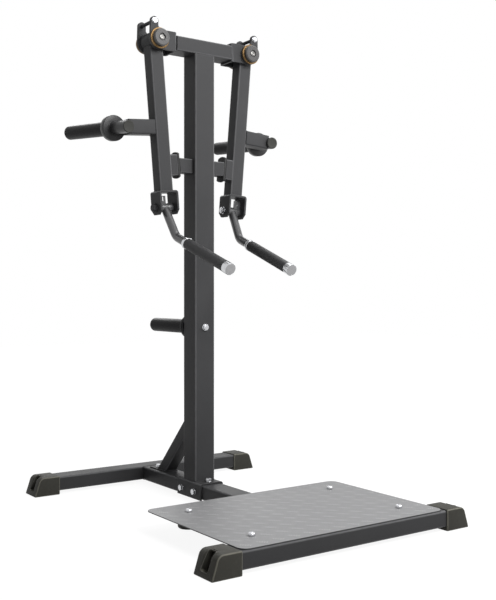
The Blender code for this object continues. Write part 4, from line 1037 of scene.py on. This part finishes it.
for hand, side in SIDES.items():
    bm = bmesh.new()
    turned(bm, [
        (0.0095, 0.0215), (0.0100, 0.0195), (0.0110, 0.0190), (0.0270, 0.0190), (0.0293, 0.0195),
        (0.0312, 0.0208), (0.0325, 0.0227), (0.0330, 0.0250), (0.0330, 0.0603), (0.0322, 0.0619),
        (0.0308, 0.0625), (0.0055, 0.0625),
    ], 96, True)
    place = move(side * TREAD_BOLT_X, BOLT_ROWS["rear"], 0)
    post = piece("platform_cushion_" + hand, bm, RUBBER, "frame", place, 30)
    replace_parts(post, "platform_post_rear_" + hand)

    arm_x = side * (PIVOT_X - math.tan(ARM_LEAN) * (PIVOT_Z - BUMPER_PAD_Z))
    face = ARM_SIDE / 2 + STRIKER_THICKNESS + BUMPER_GAP
    half = math.asin(BUMPER_HALF_DEPTH / BUMPER_RADIUS)
    rim = arc((0, 0), BUMPER_RADIUS, math.pi / 2 - half, math.pi / 2 + half, 20)
    rim += arc((0, 0), BUMPER_RADIUS, 1.5 * math.pi - half, 1.5 * math.pi + half, 20)
    bm = bmesh.new()
    prism(bm, rim, BUMPER_THICKNESS)
    place = POST @ move(arm_x, 0, BUMPER_PAD_Z) @ turn(0, side * ARM_LEAN, 0)
    place = place @ move(-side * (face + BUMPER_THICKNESS / 2), 0, 0) @ FACING_X
    pad = piece("rubber_bumper_" + hand, carved(bm, [], 0.0020, 4), PAD, "frame", place, 40)
    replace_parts(pad, "bumper_pad_" + hand)


# Raised bars of the tread plate

BAR_MIDDLE = (-0.0215, -0.3125)
BAR_PITCH = 0.0535
BAR_COLUMNS = 9
BAR_ROWS = 7
BAR_GROUP = 5
BAR_STEP = 0.0068
BAR_HALF = 0.0145
BAR_WIDTH = 0.0015
BAR_HEIGHT = 0.0005
EDGE_MARGIN = 0.004
CORNER_MARGIN = 0.012
BOLT_MARGIN = 0.018
BOLT_SPOTS = [Vector((side * TREAD_BOLT_X, y, 0)) for side in (-1, 1) for y in BOLT_ROWS.values()]


def tread_bar(bm, place, along):
    """One raised bar: low, round-backed and tapered to both ends."""
    across = Vector((-along.y, along.x, 0))
    base = TREAD_TOP - 0.0002
    loops = []
    for share in (-1.0, -0.86, -0.5, 0.0, 0.5, 0.86, 1.0):
        swell = math.sqrt(max(0.0, 1 - share**4))
        width = BAR_WIDTH * max(0.15, swell)
        height = BAR_HEIGHT * max(0.05, swell)
        point = place + along * BAR_HALF * share
        loops.append([
            (point.x + across.x * width * u, point.y + across.y * width * u, base + height * v)
            for u, v in ((-1, 0), (-0.55, 0.85), (0, 1.08), (0.55, 0.85), (1, 0))
        ])
    loft(bm, loops)


def has_room(place, along):
    """Whether a bar stays on the plate, off its rounded corners and clear of its bolts."""
    for end in (place - along * BAR_HALF, place + along * BAR_HALF):
        for axis in (X, Y):
            if not TREAD_LOW[axis] + EDGE_MARGIN < end[axis] < TREAD_HIGH[axis] - EDGE_MARGIN:
                return False
    half = (TREAD_HIGH - TREAD_LOW) / 2
    out = place - (TREAD_HIGH + TREAD_LOW) / 2
    if abs(out.x) > half.x - CORNER_MARGIN and abs(out.y) > half.y - CORNER_MARGIN:
        return False
    return all((place - spot).length > BOLT_MARGIN for spot in BOLT_SPOTS)


bars = bmesh.new()
bars_across = bmesh.new()
for column in range(-BAR_COLUMNS, BAR_COLUMNS + 1):
    for row in range(-BAR_ROWS, BAR_ROWS + 1):
        for bm, shift, way in ((bars, 0.0, 1), (bars_across, 0.5, -1)):
            along = Vector((1, way, 0)).normalized()
            stack = Vector((along.y, -along.x, 0))
            centre = Vector((BAR_MIDDLE[X] + (column + shift) * BAR_PITCH,
                             BAR_MIDDLE[Y] + (row + shift) * BAR_PITCH, 0))
            for number in range(BAR_GROUP):
                place = centre + stack * (number - (BAR_GROUP - 1) / 2) * BAR_STEP
                if has_room(place, along):
                    tread_bar(bm, place, along)
piece("tread_bars", bars, TREAD_BAR, "frame", HERE, 50)
piece("tread_bars_across", bars_across, TREAD_ACROSS, "frame", HERE, 50)


# Weld beads

BEAD_LIFT = 0.0006
TUBE_LIFT = 0.0008

bm = bmesh.new()
bead(bm, square_path(POST_SIDE, POST_SIDE, 0.006, SADDLE_TOP + BEAD_LIFT), POST)
for side in (-1, 1):
    path = square_path(0.050, 0.045, 0.004, side * (POST_SIDE / 2 + BEAD_LIFT))
    bead(bm, path, POST @ move(0, 0, BUMPER_BAR_Z) @ ALONG_X)
for side, y in ((1, -FOOT_Y + TUBE_HALF), (-1, FOOT_Y - TUBE_HALF)):
    path = square_path(0.080, 0.050, 0.0065, side * TUBE_LIFT)
    bead(bm, path, move(0, y, (TUBE_TOP + TUBE_LOW) / 2) @ ALONG_Y)
bead(bm, circle(0.0253, STORAGE_COLLAR[1] + BEAD_LIFT, 96), STORAGE_HORN)
bead(bm, circle(0.0431, STORAGE_COLLAR[0] + BEAD_LIFT, 96), STORAGE_HORN)
BRACE = POST @ move(0, BRACE_FOOT_Y, BRACE_PLATE_TOP) @ turn(math.pi / 2 - BRACE_LEAN)
way = (BRACE.to_3x3() @ Vector((0, 0, 1))).normalized()
for axis, level in ((Z, BRACE_PLATE_TOP + BEAD_LIFT), (Y, POST_Y + POST_SIDE / 2 + TUBE_LIFT)):
    path = []
    for x, y in rounded_rectangle(0.050, 0.045, 0.005, 4):
        start = BRACE @ Vector((x, y, 0))
        path.append(start + way * ((level - start[axis]) / way[axis]))
    bead(bm, path, HERE)
piece("frame_weld_beads", bm, BEAD, "frame", HERE, 60)

for hand, side in SIDES.items():
    bm = bmesh.new()
    path = []
    for x, y, _ in square_path(ARM_SIDE, ARM_SIDE, ARM_CORNER, 0):
        path.append((x, y, -math.sqrt(HUB_RADIUS**2 - x * x) - 0.0004))
    bead(bm, path, ARM[hand])
    path = square_path(ARM_SIDE, ARM_SIDE, ARM_CORNER, side * (ARM_SIDE / 2 + TUBE_LIFT))
    bead(bm, path, ARM[hand] @ move(0, 0, -HORN_DOWN) @ ALONG_X)
    bead(bm, square_path(ARM_SIDE, ARM_SIDE, ARM_CORNER, -ARM_LENGTH + BEAD_LIFT), ARM[hand])
    bead(bm, circle(0.0213, HORN_COLLAR[0] - BEAD_LIFT, 96), HORN[hand])
    bead(bm, circle(0.0253, HORN_COLLAR[1] + BEAD_LIFT, 96), HORN[hand])
    piece("arm_weld_beads_" + hand, bm, BEAD, "arm_" + hand, HERE, 60)


# Studio


def stage_piece(name, points, faces, finish):
    mesh = bpy.data.meshes.new(name)
    mesh.from_pydata(points, [], faces)
    mesh.materials.append(finish)
    made = bpy.data.objects.new(name, mesh)
    bpy.context.scene.collection.objects.link(made)
    return made


def floor_finish():
    """Pale paper: it bounces a little light, and shows white with a soft shadow."""
    look = Finish("floor_paper")
    grain = look.noise(40.0, 4.0)
    tone = look.mix(grain, (0.42, 0.42, 0.42, 1), (0.45, 0.45, 0.45, 1))
    look.finish(tone, 0.9, specular=0.0)
    rays = look.node("ShaderNodeLightPath").outputs
    direct = look.maths("MAXIMUM", rays["Is Camera Ray"], rays["Is Glossy Ray"])
    direct = look.maths("MAXIMUM", direct, rays["Is Transmission Ray"])
    paper = look.node("ShaderNodeBsdfDiffuse", {"Color": (0.14, 0.14, 0.14, 1)}).outputs[0]
    reach = look.node("ShaderNodeVectorMath", {0: look.place}, operation="LENGTH").outputs["Value"]
    strength = look.remap(reach, 1.1, 2.6, 0.92, 1.0)
    glow = look.node("ShaderNodeEmission", {"Color": (1, 1, 1, 1), "Strength": strength}).outputs[0]
    lit = look.node("ShaderNodeAddShader", {0: paper, 1: glow}).outputs[0]
    both = look.node("ShaderNodeMixShader", {0: direct, 1: look.shader.outputs[0], 2: lit})
    look.feed(look.tree.nodes["Material Output"].inputs["Surface"], both.outputs[0])
    return look.material


FLOOR_HALF = 9.0
stage_piece(
    "studio_floor",
    [(x * FLOOR_HALF, y * FLOOR_HALF, 0) for x, y in ((-1, -1), (1, -1), (1, 1), (-1, 1))],
    [(0, 1, 2, 3)],
    floor_finish(),
)

world = bpy.data.worlds.new("studio")
bpy.context.scene.world = world
world.use_nodes = True
nodes = world.node_tree.nodes
links = world.node_tree.links
sky = nodes["Background"]
sky.inputs["Color"].default_value = (0.94, 0.96, 1.0, 1)
sky.inputs["Strength"].default_value = 0.12
white = nodes.new("ShaderNodeBackground")
white.inputs["Color"].default_value = (1, 1, 1, 1)
white.inputs["Strength"].default_value = 1.0
rays = nodes.new("ShaderNodeLightPath").outputs
direct = rays["Is Camera Ray"]
for kind in ("Is Glossy Ray", "Is Transmission Ray"):
    either = nodes.new("ShaderNodeMath")
    either.operation = "MAXIMUM"
    links.new(direct, either.inputs[0])
    links.new(rays[kind], either.inputs[1])
    direct = either.outputs[0]
blend = nodes.new("ShaderNodeMixShader")
for number, output in enumerate((direct, sky.outputs[0], white.outputs[0])):
    links.new(output, blend.inputs[number])
links.new(blend.outputs[0], nodes["World Output"].inputs["Surface"])


def softbox(name, place, aim, width, height, watts):
    light = bpy.data.lights.new(name, "AREA")
    light.shape = "RECTANGLE"
    light.size = width
    light.size_y = height
    light.energy = watts
    made = bpy.data.objects.new(name, light)
    made.location = place
    made.rotation_euler = (Vector(aim) - Vector(place)).to_track_quat("-Z", "Y").to_euler()
    bpy.context.scene.collection.objects.link(made)


softbox("key_light", (0.5, -2.6, 2.6), (0, 0, 1.2), width=1.8, height=1.4, watts=98)
softbox("side_light", (2.3, -1.0, 1.7), (0.3, -0.3, 0.1), width=1.6, height=1.4, watts=31)
softbox("top_light", (0.7, 0.3, 3.6), (0.2, 0, 0.6), width=2.4, height=2.4, watts=38)
softbox("rear_light", (1.2, 3.2, 2.4), (0, 0.2, 0.9), width=2.0, height=1.6, watts=30)

camera = bpy.data.cameras.new("camera")
camera.lens = 54.6
camera.sensor_width = 36
camera.shift_y = -0.01433
eye = bpy.data.objects.new("camera", camera)
eye.location = (-1.7016, -2.5229, 0.7271)
eye.rotation_euler = (math.pi / 2, 0, -math.radians(35.128))
bpy.context.scene.collection.objects.link(eye)
bpy.context.scene.camera = eye

bpy.context.scene.view_settings.view_transform = "Standard"
